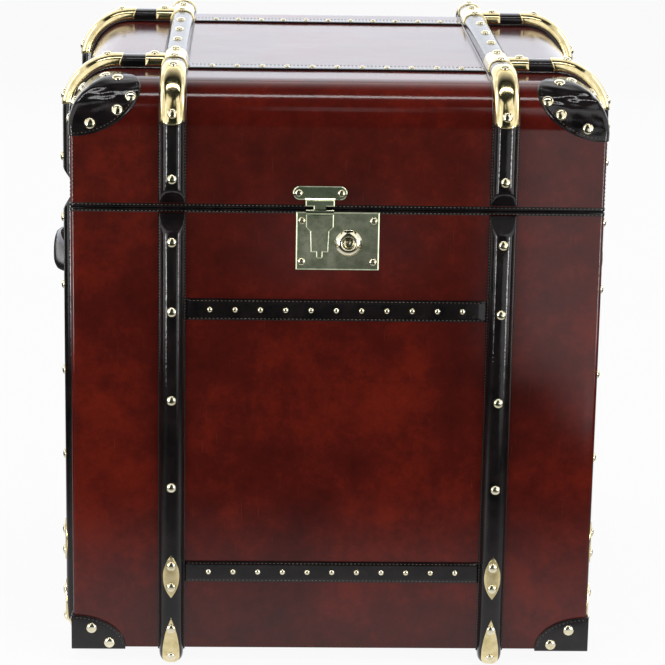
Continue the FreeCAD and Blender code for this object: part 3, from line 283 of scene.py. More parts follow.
def coverWith(tree, surface, inputs):
    # the surface's own shader and the material's output
    addNode(tree, "OutputMaterial", {"Surface": addNode(tree, surface, inputs)})


def perMetre(size):
    # a texture's scale from the size of its features in millimetres
    return 1000 / size


antique = {"dark": "#330A06", "middle": "#50110A", "bright": "#701C0D", "scuff": "#9A4A35", "cloud": 170,
           "mottle": 26, "fleck": 5, "grain": 1.1, "wave": 60, "scuffWidth": 1.1, "scuffLength": 34}


def antiqueHide():
    # vegetable-tanned cowhide, dyed, hand-mottled and waxed: deep red-brown with a soft shine
    material, tree, place = newMaterial("antiqueWaxedHide")
    cloud = addNode(tree, "TexNoise", {"Vector": place, "Scale": perMetre(antique["cloud"]), "Detail": 3.0,
                                       "Roughness": 0.55, "Distortion": 0.4})
    mottle = addNode(tree, "TexNoise", {"Vector": place, "Scale": perMetre(antique["mottle"]),
                                        "Detail": 5.0, "Roughness": 0.7})
    fleck = addNode(tree, "TexNoise", {"Vector": place, "Scale": perMetre(antique["fleck"]), "Detail": 3.0,
                                       "Roughness": 0.7})
    dyed = addNode(tree, "MixRGB", {"Fac": 0.42, "Color1": cloud, "Color2": mottle})
    worn = addNode(tree, "MixRGB", {"Fac": 0.14, "Color1": dyed, "Color2": fleck})
    tone = addNode(tree, "ValToRGB", {"Fac": worn}, stops=(
        (0.34, antique["dark"]), (0.5, antique["middle"]), (0.66, antique["bright"])))
    # faint upright scuffs from use
    thin = perMetre(antique["scuffWidth"])
    drawn = addNode(tree, "Mapping", {"Vector": place,
                                      "Scale": (thin, thin, perMetre(antique["scuffLength"]))})
    rubs = addNode(tree, "TexNoise", {"Vector": drawn, "Scale": 1.0, "Detail": 2.0})
    scuff = addNode(tree, "MapRange", {"Value": rubs, "From Min": 0.7, "From Max": 0.8, "To Min": 0.0,
                                       "To Max": 0.22})
    scuffed = addNode(tree, "MixRGB", {"Fac": scuff, "Color1": tone, "Color2": linear(antique["scuff"])})
    gloss = addNode(tree, "MapRange", {"Value": mottle, "From Min": 0.3, "From Max": 0.7, "To Min": 0.38,
                                       "To Max": 0.52})
    pores = addNode(tree, "TexVoronoi", {"Vector": place, "Scale": perMetre(antique["grain"])})
    wave = addNode(tree, "TexNoise", {"Vector": place, "Scale": perMetre(antique["wave"]), "Detail": 2.0})
    grain = addNode(tree, "Bump", {"Strength": 0.1, "Distance": 0.0002, "Height": pores})
    soft = addNode(tree, "Bump", {"Strength": 0.15, "Distance": 0.0009, "Height": wave, "Normal": grain})
    coverWith(tree, "BsdfPrincipled", {
        "Base Color": scuffed, "Roughness": gloss, "IOR": 1.45, "Specular IOR Level": 0.02,
        "Coat Weight": 0.9, "Coat Roughness": 0.09, "Normal": soft, "Coat Normal": soft})
    return material


bridle = {"dark": "#0B090A", "light": "#1F1718", "wear": 18, "grain": 0.9, "wave": 14}


def blackBridle():
    # black bridle leather, burnished and waxed: near black, hard narrow highlights
    material, tree, place = newMaterial("blackBridleLeather")
    wear = addNode(tree, "TexNoise", {"Vector": place, "Scale": perMetre(bridle["wear"]), "Detail": 5.0,
                                      "Roughness": 0.65})
    tone = addNode(tree, "ValToRGB", {"Fac": wear}, stops=((0.35, bridle["dark"]), (0.7, bridle["light"])))
    gloss = addNode(tree, "MapRange", {"Value": wear, "From Min": 0.3, "From Max": 0.75, "To Min": 0.28,
                                       "To Max": 0.42})
    pores = addNode(tree, "TexVoronoi", {"Vector": place, "Scale": perMetre(bridle["grain"])})
    wave = addNode(tree, "TexNoise", {"Vector": place, "Scale": perMetre(bridle["wave"]), "Detail": 3.0})
    grain = addNode(tree, "Bump", {"Strength": 0.14, "Distance": 0.0002, "Height": pores})
    soft = addNode(tree, "Bump", {"Strength": 0.22, "Distance": 0.0005, "Height": wave, "Normal": grain})
    coverWith(tree, "BsdfPrincipled", {
        "Base Color": tone, "Roughness": gloss, "IOR": 1.5, "Specular IOR Level": 0.04,
        "Coat Weight": 0.9, "Coat Roughness": 0.045, "Normal": soft, "Coat Normal": soft})
    return material


# the pale pair's paleness is the metal's own, but its grey-green cast is a painted reflection of the
# grey-green surroundings
brass = {"clean": "#F0DFAE", "dull": "#D2C08A", "creamClean": "#F3ECD2", "creamDull": "#DCD1AC",
         "paleCleanPaintedGreen": "#D9DDBF", "paleDullPaintedGreen": "#BAC2A2", "tarnish": 11, "hairline": 0.8}


def polishedBrass(name, dull, clean, low, high):
    # cast and sheet brass, buffed: pale gold with fine hairlines and a breath of tarnish
    material, tree, place = newMaterial(name)
    tarnish = addNode(tree, "TexNoise", {"Vector": place, "Scale": perMetre(brass["tarnish"]),
                                         "Detail": 5.0, "Roughness": 0.6})
    tone = addNode(tree, "ValToRGB", {"Fac": tarnish}, stops=((0.35, brass[dull]), (0.6, brass[clean])))
    gloss = addNode(tree, "MapRange", {"Value": tarnish, "From Min": 0.35, "From Max": 0.7, "To Min": high,
                                       "To Max": low})
    hairlines = addNode(tree, "TexNoise", {"Vector": place, "Scale": perMetre(brass["hairline"]),
                                           "Detail": 2.0})
    buffed = addNode(tree, "Bump", {"Strength": 0.05, "Distance": 0.0001, "Height": hairlines})
    coverWith(tree, "BsdfPrincipled", {"Base Color": tone, "Metallic": 1.0, "Roughness": gloss,
                                       "Normal": buffed})
    return material


zinc = {"dark": "#A2A5A9", "light": "#C9CBCE", "lineLength": 14, "lineWidth": 0.5}


def zincSteel():
    # zinc-plated steel, brushed: cool grey, soft reflections
    material, tree, place = newMaterial("brushedZincSteel")
    thin = perMetre(zinc["lineWidth"])
    stretch = addNode(tree, "Mapping", {"Vector": place,
                                        "Scale": (perMetre(zinc["lineLength"]), thin, thin)})
    lines = addNode(tree, "TexNoise", {"Vector": stretch, "Scale": 1.0, "Detail": 3.0})
    tone = addNode(tree, "ValToRGB", {"Fac": lines}, stops=((0, zinc["dark"]), (1, zinc["light"])))
    brushed = addNode(tree, "Bump", {"Strength": 0.15, "Distance": 0.0001, "Height": lines})
    coverWith(tree, "BsdfPrincipled", {"Base Color": tone, "Metallic": 1.0, "Roughness": 0.34,
                                       "Normal": brushed})
    return material


twillCloth = {"dark": "#A8946F", "light": "#D9C9A6", "rib": 1.6, "slub": 9}


def cottonTwill():
    # woven cotton twill: matt, slanting ribs, drawn at 1.6 mm because the real 0.6 mm is too fine to show
    material, tree, place = newMaterial("cottonTwill")
    slant = addNode(tree, "Mapping", {"Vector": place, "Rotation": (0.6, 0.5, 0.7)})
    ribs = addNode(tree, "TexWave", {"Vector": slant, "Scale": perMetre(twillCloth["rib"]) / 20 * 3.14,
                                     "Distortion": 0.6, "Detail": 1.0}, wave_type="BANDS").outputs["Fac"]
    slub = addNode(tree, "TexNoise", {"Vector": place, "Scale": perMetre(twillCloth["slub"]), "Detail": 5.0,
                                      "Roughness": 0.7})
    both = addNode(tree, "MixRGB", {"Fac": 0.5, "Color1": ribs, "Color2": slub})
    tone = addNode(tree, "ValToRGB", {"Fac": both}, stops=(
        (0, twillCloth["dark"]), (1, twillCloth["light"])))
    woven = addNode(tree, "Bump", {"Strength": 0.4, "Distance": 0.0003, "Height": ribs})
    coverWith(tree, "BsdfPrincipled", {"Base Color": tone, "Roughness": 0.85, "Sheen Weight": 0.3,
                                       "Sheen Roughness": 0.5, "Specular IOR Level": 0.25, "Normal": woven})
    return material


linen = {"dark": "#54483F", "light": "#87776A", "twist": 1.5}


def waxedThread():
    # waxed linen thread, twisted: charcoal with a dull sheen
    material, tree, place = newMaterial("waxedLinenThread")
    twist = addNode(tree, "TexNoise", {"Vector": place, "Scale": perMetre(linen["twist"]), "Detail": 2.0})
    tone = addNode(tree, "ValToRGB", {"Fac": twist}, stops=((0, linen["dark"]), (1, linen["light"])))
    coverWith(tree, "BsdfPrincipled", {"Base Color": tone, "Roughness": 0.5, "Specular IOR Level": 0.3})
    return material


boards = {"dark": "#B08A5E", "light": "#D8B98C", "grainLength": 160, "grainWidth": 9}


def planedPoplar():
    # planed poplar boards, bare: pale, faint straight grain
    material, tree, place = newMaterial("planedPoplar")
    thin = perMetre(boards["grainWidth"])
    stretch = addNode(tree, "Mapping", {"Vector": place,
                                        "Scale": (perMetre(boards["grainLength"]), thin, thin)})
    grain = addNode(tree, "TexNoise", {"Vector": stretch, "Scale": 1.0, "Detail": 6.0})
    tone = addNode(tree, "ValToRGB", {"Fac": grain}, stops=((0, boards["dark"]), (1, boards["light"])))
    coverWith(tree, "BsdfPrincipled", {"Base Color": tone, "Roughness": 0.65, "IOR": 1.45})
    return material


hide = antiqueHide()
trim = blackBridle()
gilt = polishedBrass("buffedBrass", "dull", "clean", 0.08, 0.16)
cream = polishedBrass("domedNailBrass", "creamDull", "creamClean", 0.08, 0.14)
# brass of the lock plate and hasp: pale metal with a painted grey-green reflection in its colour
pale = polishedBrass("paleSheetBrassPaintedGreen", "paleDullPaintedGreen", "paleCleanPaintedGreen", 0.1, 0.15)
steel = zincSteel()
twill = cottonTwill()
thread = waxedThread()
poplar = planedPoplar()
print("materials made")


# leather cover of the body and the lid: openings are left, right, low, high

cover = {"cornerRadius": 3, "cell": 9, "swell": 0.22, "swellSize": 75, "bindingShow": 4.0, "thickness": 1.8,
         "lockWindow": (-30.3, 30.3, 401.7, 440.3), "stapleSlot": (-19.3, -14.7, 440.3, seam)}


def planRing(half, radius, stations, frontStations=None):
    # (x, y, outward x, outward y) round a square plan with rounded corners, from the front's left end
    ring = []
    for quarter, spots in enumerate((frontStations or stations, stations, stations, stations)):
        run = [(spot, -half, 0, -1) for spot in spots]
        for step in range(1, 5):
            turn = math.radians(90 * step / 5)
            s, c = math.sin(turn), math.cos(turn)
            run.append((half - radius + radius * s, -half + radius - radius * c, s, -c))
        for x, y, outX, outY in run:
            for _ in range(quarter):
                x, y, outX, outY = -y, x, -outY, outX
            ring.append((x, y, outX, outY))
    return ring


def skinRow(ring, z, swollen):
    # one level of a hide, which is never dead flat; its swell turns upward over the lid's edge
    size = cover["swellSize"]
    up = min((z - lidTop + edgeRadius) / edgeRadius, 1) if z > lidTop - edgeRadius + 1 else 0
    row = []
    for x, y, outX, outY in ring:
        spot = Vector((x / size, y / size, z / size)) + Vector((3.1, 0.7, 5.3))
        push = cover["swell"] * noise.noise(spot) if swollen else 0
        row.append((x + outX * push * (1 - up), y + outY * push * (1 - up), z + push * up))
    return row


def buildBodyCover():
    radius, cell, thickness = cover["cornerRadius"], cover["cell"], cover["thickness"]
    window, slot = cover["lockWindow"], cover["stapleSlot"]
    plain = spread(-halfCase + radius, halfCase - radius, cell)
    pierced = spread(-halfCase + radius, halfCase - radius, cell, window[:2] + slot[:2])
    levels = spread(foot, seam - cover["bindingShow"], cell, window[2:])
    outer = planRing(halfCase, radius, plain, pierced)
    inner = planRing(halfCase - thickness, max(radius - thickness, 1), plain, pierced)
    width = len(outer)

    def gone(i, j):
        # past the cover's rims or in an opening
        if not 0 <= i < len(levels) - 1:
            return True
        if j >= len(pierced) - 1:
            return False
        x = (pierced[j] + pierced[j + 1]) / 2
        z = (levels[i] + levels[i + 1]) / 2
        return any(hole[0] < x < hole[1] and hole[2] < z < hole[3] for hole in (window, slot))

    stock = newStock()
    first = addGrid(stock, [skinRow(outer, z, True) for z in levels], loop=True, skip=gone)
    second = addGrid(stock, [skinRow(inner, z, False) for z in levels], loop=True, skip=gone)
    # the hide's cut edges, between a cell that is there and one that is not
    for i in range(len(levels) - 1):
        for j in range(width):
            if gone(i, j):
                continue
            k = (j + 1) % width
            here, above = i * width, (i + 1) * width
            for row, column, a, b in (
                    (i - 1, j, here + j, here + k), (i + 1, j, above + j, above + k),
                    (i, (j - 1) % width, here + j, above + j), (i, k, here + k, above + k)):
                if gone(row, column):
                    stock["faces"].append((first + a, first + b, second + b, second + a))
    makePiece("bodyHide", stock, hide, "body_leather")


def lidProfile(depth=0, arcSteps=18):
    # (plan half size, height) from the middle of the top and over the rounded edge
    radius = edgeRadius - depth
    rows = [(half, lidTop - depth) for half in (12, 40, 70, 100, 130, 155, 175, 192, 203)]
    for step in range(arcSteps + 1):
        turn = math.radians(90 * step / arcSteps)
        rows.append((edgeCentre + radius * math.sin(turn), lidTop - edgeRadius + radius * math.cos(turn)))
    return rows


def lidRow(half, z, radius, swollen, count=52):
    inner = max(half - radius, half * 0.5)
    stations = [-inner + 2 * inner * step / count for step in range(count + 1)]
    return skinRow(planRing(half, half - inner, stations), z, swollen)


def buildLidCover():
    low = trunk["lidBottom"] + cover["bindingShow"]
    outer = lidProfile()
    outer += [(halfCase, z) for z in reversed(spread(low, lidTop - edgeRadius, cover["cell"])[:-1])]
    inner = lidProfile(cover["thickness"]) + [(halfCase - cover["thickness"], low)]
    stock = newStock()
    addLoft(stock, [lidRow(half, z, 2.5, True) for half, z in outer]
            + [lidRow(half, z, 1.5, False) for half, z in reversed(inner)])
    makePiece("lidHide", stock, hide, "lid_leather")
    # the seams beside the lid's upright edges
    for turns in range(4):
        for side in (-1, 1):
            ends = [(side * (halfCase - 2.6), halfCase + 0.1, z) for z in (low + 1, lidTop - 51)]
            sewSide(lidStitches, ends, turns)


buildBodyCover()
buildLidCover()
print("hides fitted")


# rim bindings

binding = {"proud": 0.7, "stitchInset": 1.3, "wrap": 12.2, "outerRadius": 3.4, "innerRadius": 1.5,
           "cell": 12}


def bindingRows(low, high, flip):
    # section of a folded strip over the rim: (half size, height)
    face = halfCase + binding["proud"]
    inside = halfCase - binding["wrap"]
    rows = [(halfCase - 1.9, low), (halfCase + 0.1, low), (face - 0.15, low + 0.5), (face, low + 1.2),
            (face, high - 1.2), (face - 0.35, high - 0.35), (face - 1.2, high), (inside + 0.9, high),
            (inside + 0.2, high - 0.3), (inside, high - 0.9), (inside, high - 1.45),
            (halfCase - 1.9, high - 1.45)]
    return [(half, low + high - z) for half, z in rows] if flip else rows


def buildBindings():
    slot = cover["stapleSlot"][:2]
    reach = halfCase - binding["outerRadius"]
    columns = spread(-reach, reach, binding["cell"], slot)
    for name, node, low, flip, stitches in (
            ("bodyBinding", "body_rim_binding", seam - cover["bindingShow"], False, bodyStitches),
            ("lidBinding", "lid_rim_binding", trunk["lidBottom"], True, lidStitches)):
        high = low + cover["bindingShow"]
        stock = newStock()
        rings = []
        for half, z in bindingRows(low, high, flip):
            radius = binding["outerRadius" if half > halfCase - 5 else "innerRadius"]
            stations = columns
            if half < halfCase - 3:
                scale = (half - binding["innerRadius"]) / reach
                stations = [spot * scale if abs(spot) > 40 else spot for spot in columns]
            rings.append([(x, y, z) for x, y, _, _ in planRing(half, radius, stations)])
        # the staple passes through the body's binding
        gap = None if flip else columns.index(slot[0])
        start = addGrid(stock, rings, loop=True, close=True, skip=lambda i, j: j == gap)
        if gap:
            for column in (gap, gap + 1):
                stock["faces"].append(tuple(start + row * len(rings[0]) + column for row in range(len(rings))))
        makePiece(name, stock, trim, node)
        level = high - binding["stitchInset"] if flip else low + binding["stitchInset"]
        ends = [(x, halfCase + binding["proud"], level) for x in (2 - halfCase, halfCase - 2)]
        for turns in range(4):
            sewSide(stitches, ends, turns)


buildBindings()
print("rims bound")


# battens, slats and runners

batten = {"foot": 11.6, "flange": 13, "flangeHeight": 1.8, "power": 2.7, "steps": 22, "toeSteps": 10,
          "rampLength": 14, "tongue": 22, "lidGap": 5.4, "bodyGap": 4.3, "stitchAcross": 12.3,
          "stitchSize": 0.78, "crossStart": 13.3, "coarse": 16, "fine": 1.6, "arcCell": 2.6}


def sectionPoint(share, rise, off=0):
    # round a batten's back from its right foot to its left, off its face by some distance
    turn = math.pi * share
    power = batten["power"]
    height = rise - batten["flangeHeight"]
    x = math.copysign(abs(math.cos(turn)) ** (2 / power), math.cos(turn))
    y = abs(math.sin(turn)) ** (2 / power)
    outX = math.copysign(abs(x) ** (power - 1), x) / batten["foot"]
    outY = y ** (power - 1) / height
    length = math.hypot(outX, outY)
    return (batten["foot"] * x + outX / length * off,
            batten["flangeHeight"] + height * y + outY / length * off)


def section(rise, limit=math.inf, flange=True):
    # a batten's outline, with its back cut off at a limit
    steps = batten["steps"]
    crown = [sectionPoint(0.012 + 0.976 * step / steps, rise) for step in range(steps + 1)]
    if flange:
        edge = [(batten["flange"], 0), (batten["flange"], 1.3), (batten["flange"] - 0.4, 1.75),
                (batten["foot"] + 0.3, batten["flangeHeight"])]
    else:
        edge = [(batten["foot"] + 0.1, y) for y in (0, 0.6, 1.2, 1.7)]
    return [(x, min(y, limit)) for x, y in edge + crown + [(-x, y) for x, y in reversed(edge)]]


def rampLimit(rise, past, length):
    # towards the seam the back slopes down to the flange
    return rise + 0.2 - (rise - batten["flangeHeight"]) * past / length if past > 0 else math.inf


def crownOut(x, rise):
    share = min(abs(x) / batten["foot"], 1)
    height = rise - batten["flangeHeight"]
    return batten["flangeHeight"] + height * (1 - share ** batten["power"]) ** (1 / batten["power"])


def uprightPoint(side, x, out, z, turns, toe=0):
    # toe is how far the batten has turned under the base, in degrees
    if toe:
        turn = math.radians(toe)
        out, z = out * math.cos(turn), foot - out * math.sin(turn)
    return turned((side * across + x, halfCase + out, z), turns)


def edgePoint(travel, out):
    # (half size, height): travel is 0 where the lid's edge starts to round, negative towards its middle
    if travel <= 0:
        return edgeCentre + travel, lidTop + out
    if travel < edgeArc:
        turn = travel / edgeRadius
        return (edgeCentre + (edgeRadius + out) * math.sin(turn),
                lidTop - edgeRadius + (edgeRadius + out) * math.cos(turn))
    return halfCase + out, lidTop - edgeRadius - (travel - edgeArc)


def lidPoint(side, x, out, travel, turns):
    return turned((side * across + x, *edgePoint(travel, out)), turns)


def lidOut(travel, turns):
    turn = min(max(travel / edgeRadius, 0), math.pi / 2)
    return turned((0, math.sin(turn), math.cos(turn)), turns)


def buildBattens():
    flange, aside, size = (batten[field] for field in ("flangeHeight", "stitchAcross", "stitchSize"))
    coarse, fine = batten["coarse"], batten["fine"]
    top, rampTop = seam - batten["bodyGap"], seam - batten["tongue"]
    lidEnd = edgeArc + lidTop - edgeRadius - seam - batten["lidGap"]
    rampStart = lidEnd - batten["rampLength"]
    levels = [foot, foot + 4] + spread(foot + 20, rampTop, 30) + spread(rampTop, top, fine)[1:]
    toes = [90 * step / batten["toeSteps"] for step in range(batten["toeSteps"], 0, -1)]
    for name, turns, rise in sides:
        start = 0 if rise == trunk["longRise"] else batten["crossStart"]
        travels = spread(-(edgeCentre - across - start), 0, coarse)
        travels += spread(0, edgeArc, batten["arcCell"])[1:]
        travels += spread(edgeArc, rampStart, coarse)[1:] + spread(rampStart, lidEnd, fine)[1:]
        body = newStock()
        lid = newStock()
        for side in (-1, 1):
            rings = [[uprightPoint(side, x, y, 0, turns, toe) for x, y in section(rise, flange=False)]
                     for toe in toes]
            for z in levels:
                outline = section(rise, rampLimit(rise, z - rampTop, top - rampTop))
                rings.append([uprightPoint(side, x, y, z, turns) for x, y in outline])
            addLoft(body, rings)
            rings = []
            for travel in travels:
                outline = section(rise, rampLimit(rise, travel - rampStart, batten["rampLength"]))
                rings.append([lidPoint(side, x, y, travel, turns) for x, y in outline])
            addLoft(lid, rings)
            for edge in (-1, 1):
                sewSide(bodyStitches, [(side * across + edge * aside, halfCase + flange, z)
                                       for z in (foot + 2, seam - 8)], turns, size)
                addStitches(lidStitches, [(lidPoint(side, edge * aside, flange, travel, turns),
                                           lidOut(travel, turns)) for travel in travels[:-3]], size)
        makePiece(name + "Battens", body, trim, name + "_battens", sharp=40)
        makePiece(name + "LidBattens", lid, trim, "lid_" + name + "_battens", sharp=40)

    slats = newStock()
    runners = newStock()
    outline = section(trunk["longRise"])
    for side in (-1, 1):
        for stock, half, cell, z, up in ((slats, across, 20, lidTop, 1), (runners, halfCase, 25, foot, -1)):
            addLoft(stock, [[(side * across + x, y, z + up * out) for x, out in outline]
                            for y in spread(-half, half, cell)])
        for edge in (-1, 1):
            addStitches(lidStitches, [((side * across + edge * aside, y, lidTop + flange), (0, 0, 1))
                                      for y in (12 - across, across - 12)], size)
            addLoft(runners, [[(x * side, edge * across + away, foot - out)
                               for away, out in section(trunk["crossRise"])]
                              for x in (across + batten["crossStart"], halfCase)])
    makePiece("lidSlats", slats, trim, "lid_top_slats", sharp=40)
    makePiece("baseRunners", runners, trim, "base_runners", sharp=40)


buildBattens()
print("battens laid")


# straps

strap = {"width": 20.8, "thickness": 2, "stitchInset": 1.8, "levels": (354, 92.5), "sag": 0.12}


def buildStraps():
    half, thickness = strap["width"] / 2, strap["thickness"]
    inset = half - strap["stitchInset"]
    reach = across - batten["flange"]
    ends = (2 - reach, reach - 2)
    size = (6, 40, reach * 2, strap["width"], thickness)
    for name, turns, rise in sides:
        stock = newStock()
        for level in strap["levels"]:
            def place(u, v, off):
                sag = strap["sag"] * noise.noise(Vector((v * 9, level, turns * 3.3))) if off > 0 else 0
                z = level + (u * 2 - 1) * half
                return turned(((v * 2 - 1) * reach, halfCase + off + sag, z), turns)
            addSheet(stock, place, *size, rim=1.0, sink=0)
            for z in (level - inset, level + inset):
                sewSide(bodyStitches, [(x, halfCase + thickness, z) for x in ends], turns)
        makePiece(name + "Straps", stock, trim, name + "_straps")
    stock = newStock()
    for side in (-1, 1):
        def place(u, v, off):
            return ((v * 2 - 1) * reach, side * across + (u * 2 - 1) * half, lidTop + off)
        addSheet(stock, place, *size, rim=1.0, sink=0)
        for y in (side * across - inset, side * across + inset):
            addStitches(lidStitches, [((x, y, lidTop + thickness), (0, 0, 1)) for x in ends])
    makePiece("lidStraps", stock, trim, "lid_straps")


buildStraps()
print("straps laid")


# brass caps, saddles and plates on the battens

cap = {"thickness": 1.1, "lead": 5, "tip": 85, "tipArc": 6.5, "topArc": 4.0, "length": 78, "girth": 40}
saddle = {"length": 54, "wing": 15, "thickness": 1.1, "wingStart": 7}
plate = {"thickness": 1, "width": 16.5, "lensLength": 43, "lensHeight": 77.5, "footTop": 35,
         "footUnder": 16, "footRound": 8, "sink": 0.4}


def lensHalf(along, halfLength, halfWide):
    # half width of a pointed oval at a distance along its length
    radius = (halfLength ** 2 + halfWide ** 2) / (2 * halfWide)
    return max(math.sqrt(max(radius ** 2 - along ** 2, 0)) - radius + halfWide, 0.35)


def overCrown(u, rise, off):
    return sectionPoint(0.01 + 0.98 * u, rise, off)


def buildBrass():
    caps, lenses, feet, saddles = newStock(), newStock(), newStock(), newStock()
    top, halfLens, halfWide = plate["footTop"], plate["lensLength"] / 2, plate["width"] / 2
    total = top + plate["footUnder"]
    for name, turns, rise in sides:
        for side in (-1, 1):
            def placeCap(u, v, off):
                x, out = overCrown(u, rise, off)
                bow = math.sqrt(max(1 - (x / 12.7) ** 2, 0))
                low = -(cap["lead"] - cap["topArc"] * (1 - bow))
                high = math.radians(cap["tip"] - cap["tipArc"] * (1 - bow)) * edgeRadius
                return lidPoint(side, x, out, low + (high - low) * v, turns)
            addSheet(caps, placeCap, 26, 34, cap["length"], cap["girth"], cap["thickness"])

            def placeLens(u, v, off):
                along = (v * 2 - 1) * plate["lensLength"] / 2
                x = (u * 2 - 1) * lensHalf(along, halfLens, halfWide)
                z = foot + plate["lensHeight"] + along
                return uprightPoint(side, x, crownOut(x, rise) + off, z, turns)
            addSheet(lenses, placeLens, 12, 30, plate["lensLength"], plate["width"], plate["thickness"],
                     sink=plate["sink"])

            def placeFoot(u, v, off):
                travel = v * total   # from the point down
                wide = lensHalf(max(top + 2 - travel, 0), top + 2, halfWide)
                rounded = (travel - total + plate["footRound"]) / plate["footRound"]
                if rounded > 0:
                    wide = max(wide * math.sqrt(max(1 - rounded ** 2, 0)), 0.35)
                x = (u * 2 - 1) * wide
                out = crownOut(x, rise) + off
                if travel <= top:
                    return uprightPoint(side, x, out, foot + top - travel, turns)
                return uprightPoint(side, x, out, 0, turns, math.degrees((travel - top) / (rise + 1)))
            addSheet(feet, placeFoot, 12, 40, total, plate["width"], plate["thickness"], sink=plate["sink"])

    wing = batten["flange"] + saddle["wing"] - saddle["wingStart"]
    for sideX in (-1, 1):
        for sideY in (-1, 1):
            def placeBand(u, v, off):
                x, out = overCrown(u, trunk["longRise"], off)
                return (sideX * across + x, sideY * across + (v - 0.5) * saddle["length"], lidTop + out)
            addSheet(saddles, placeBand, 26, 12, saddle["length"], cap["girth"], saddle["thickness"])

            def placeWing(u, v, off):
                away, out = overCrown(u, trunk["crossRise"], off)
                x = across + saddle["wingStart"] + v * wing
                return (sideX * x, sideY * across + away, lidTop + out)
            addSheet(saddles, placeWing, 26, 8, wing, cap["girth"], saddle["thickness"])
    for name, stock, node in (("edgeCaps", caps, "edge_caps"), ("lensPlates", lenses, "lens_plates"),
                              ("footPlates", feet, "foot_plates"), ("saddlePlates", saddles, "saddles")):
        makePiece(name, stock, gilt, node, sharp=50)


buildBrass()
print("brass plates fitted")


# formed leather corners

corner = {"thickness": 1.8, "reach": 72, "lift": 22, "lowReach": 50.5, "lowHeight": 33, "stitchInset": 2.6,
          "wrinkle": 0.75, "fold": 32}


def cornerPlace(sideX, sideY, travel, along, off):
    # travel runs down the lid's rounded edge; along is negative on the front or back and positive on a side
    half, z = edgePoint(travel, off)
    inset = half - abs(along)
    x, y = (inset, half) if along < 0 else (half, inset)
    return (sideX * x, sideY * y, z)


def cornerReach(travel, reach):
    # how far along the edge the leather goes at this height
    half, z = edgePoint(travel, corner["thickness"])
    rest = reach ** 2 - (half - halfCase) ** 2 - (z - lidTop - corner["lift"]) ** 2
    return max(math.sqrt(rest) - (halfCase - half), 0) if rest > 0 else 0


def cornerSpan(reach):
    spots = [step * 0.25 for step in range(-260, 600)]
    inside = [spot for spot in spots if cornerReach(spot, reach) > 0]
    return inside[0], inside[-1]


def buildCorners():
    stock = newStock()
    thickness, inset = corner["thickness"], corner["stitchInset"]
    first, last = cornerSpan(corner["reach"])
    seamTravels = spread(*cornerSpan(corner["reach"] - inset), 1.5)
    skin = halfCase + thickness
    wide, high = corner["lowReach"] - inset, corner["lowHeight"] - inset
    bends = [math.radians(4 + 84 * step / 24) for step in range(25)]
    lowSeam = [(wide * math.cos(turn), high * math.sin(turn)) for turn in bends]
    for sideX in (-1, 1):
        for sideY in (-1, 1):
            def place(u, v, off):
                travel = first + (last - first) * v
                along = (u * 2 - 1) * max(cornerReach(travel, corner["reach"]), 0.3)
                ease = 0
                if off > 0:
                    # the crease is a little round, and wrinkles run round the fold, deepest beside it
                    ease = 0.9 * max(1 - abs(along) / 3.5, 0)
                    near = math.exp(-((travel - corner["fold"]) / 11) ** 2)
                    spot = Vector((travel / 5.5, along / 13, sideX * 7.1 + sideY * 3.3))
                    off += corner["wrinkle"] * (0.35 + 0.65 * near) * noise.noise(spot)
                x, y, z = cornerPlace(sideX, sideY, travel, along, off)
                return (x - sideX * ease, y - sideY * ease, z)
            addSheet(stock, place, 56, 84, 120, 90, thickness, rim=1.1, sink=0.2)
            for edge in (-1, 1):
                path = []
                for travel in seamTravels:
                    along = edge * cornerReach(travel, corner["reach"] - inset)
                    spot, lifted = (Vector(cornerPlace(sideX, sideY, travel, along, off))
                                    for off in (thickness, thickness + 1))
                    shift = lifted - spot
                    shift[0 if edge < 0 else 1] = 0
                    path.append((spot, shift.normalized()))
                addStitches(lidStitches, path)
            addStitches(bodyStitches, [((sideX * (halfCase - a), sideY * skin, foot + b), (0, sideY, 0))
                                       for a, b in lowSeam])
            addStitches(bodyStitches, [((sideX * skin, sideY * (halfCase - a), foot + b), (sideX, 0, 0))
                                       for a, b in lowSeam])
    makePiece("lidCorners", stock, trim, "top_corner_leathers", sharp=45)
    eased("bottom_corner_leathers", "baseCorners", trim, 1.0, 3)


buildCorners()
print("corners fitted")


# nails and screws: a profile is (share of the radius, share of the rise) pairs

nail = {"segments": 20, "grow": 1.12, "cornerGrow": 1.26, "cornerFrom": 178,
        "profile": ((1.0, -0.3), (1.0, 0.08), (0.97, 0.26), (0.9, 0.46), (0.78, 0.66), (0.6, 0.83),
                    (0.4, 0.94), (0.18, 0.99))}
screw = {"slot": 0.95, "slotDepth": 1.0, "ease": 0.12, "grow": 1.15}


def headPlaces(node):
    # foot centre, direction, width and rise of each head in a CAD node
    shell = weldedShell(nodes[node].data, 2e-6)
    unseen = set(shell.verts)
    places = []
    for seed in shell.verts:
        if seed not in unseen:
            continue
        unseen.remove(seed)
        island = [seed]
        for known in island:   # grows while it is walked
            for vert in (vert for joint in known.link_edges for vert in joint.verts if vert in unseen):
                unseen.remove(vert)
                island.append(vert)
        spots = np.array([vert.co for vert in island]) / mm
        centre = spots.mean(0)
        axis = np.linalg.svd(spots - centre)[2][2]
        heights = (spots - centre) @ axis
        away = np.linalg.norm(spots - centre - np.outer(heights, axis), axis=1)
        if away[heights > 0].mean() > away[heights < 0].mean():
            axis, heights = -axis, -heights
        places.append((centre + axis * heights.min(), axis, away.max() * 2, heights.max() - heights.min()))
    shell.free()
    return sorted(places, key=lambda place: tuple(np.round(place[0], 2)))


def headFrame(place):
    base, axis = Vector(place[0]), Vector(place[1])
    side = axis.cross(Vector((0, 0, 1))) if abs(axis.z) < 0.9 else axis.orthogonal()
    side.normalize()
    return base, axis, side, axis.cross(side)


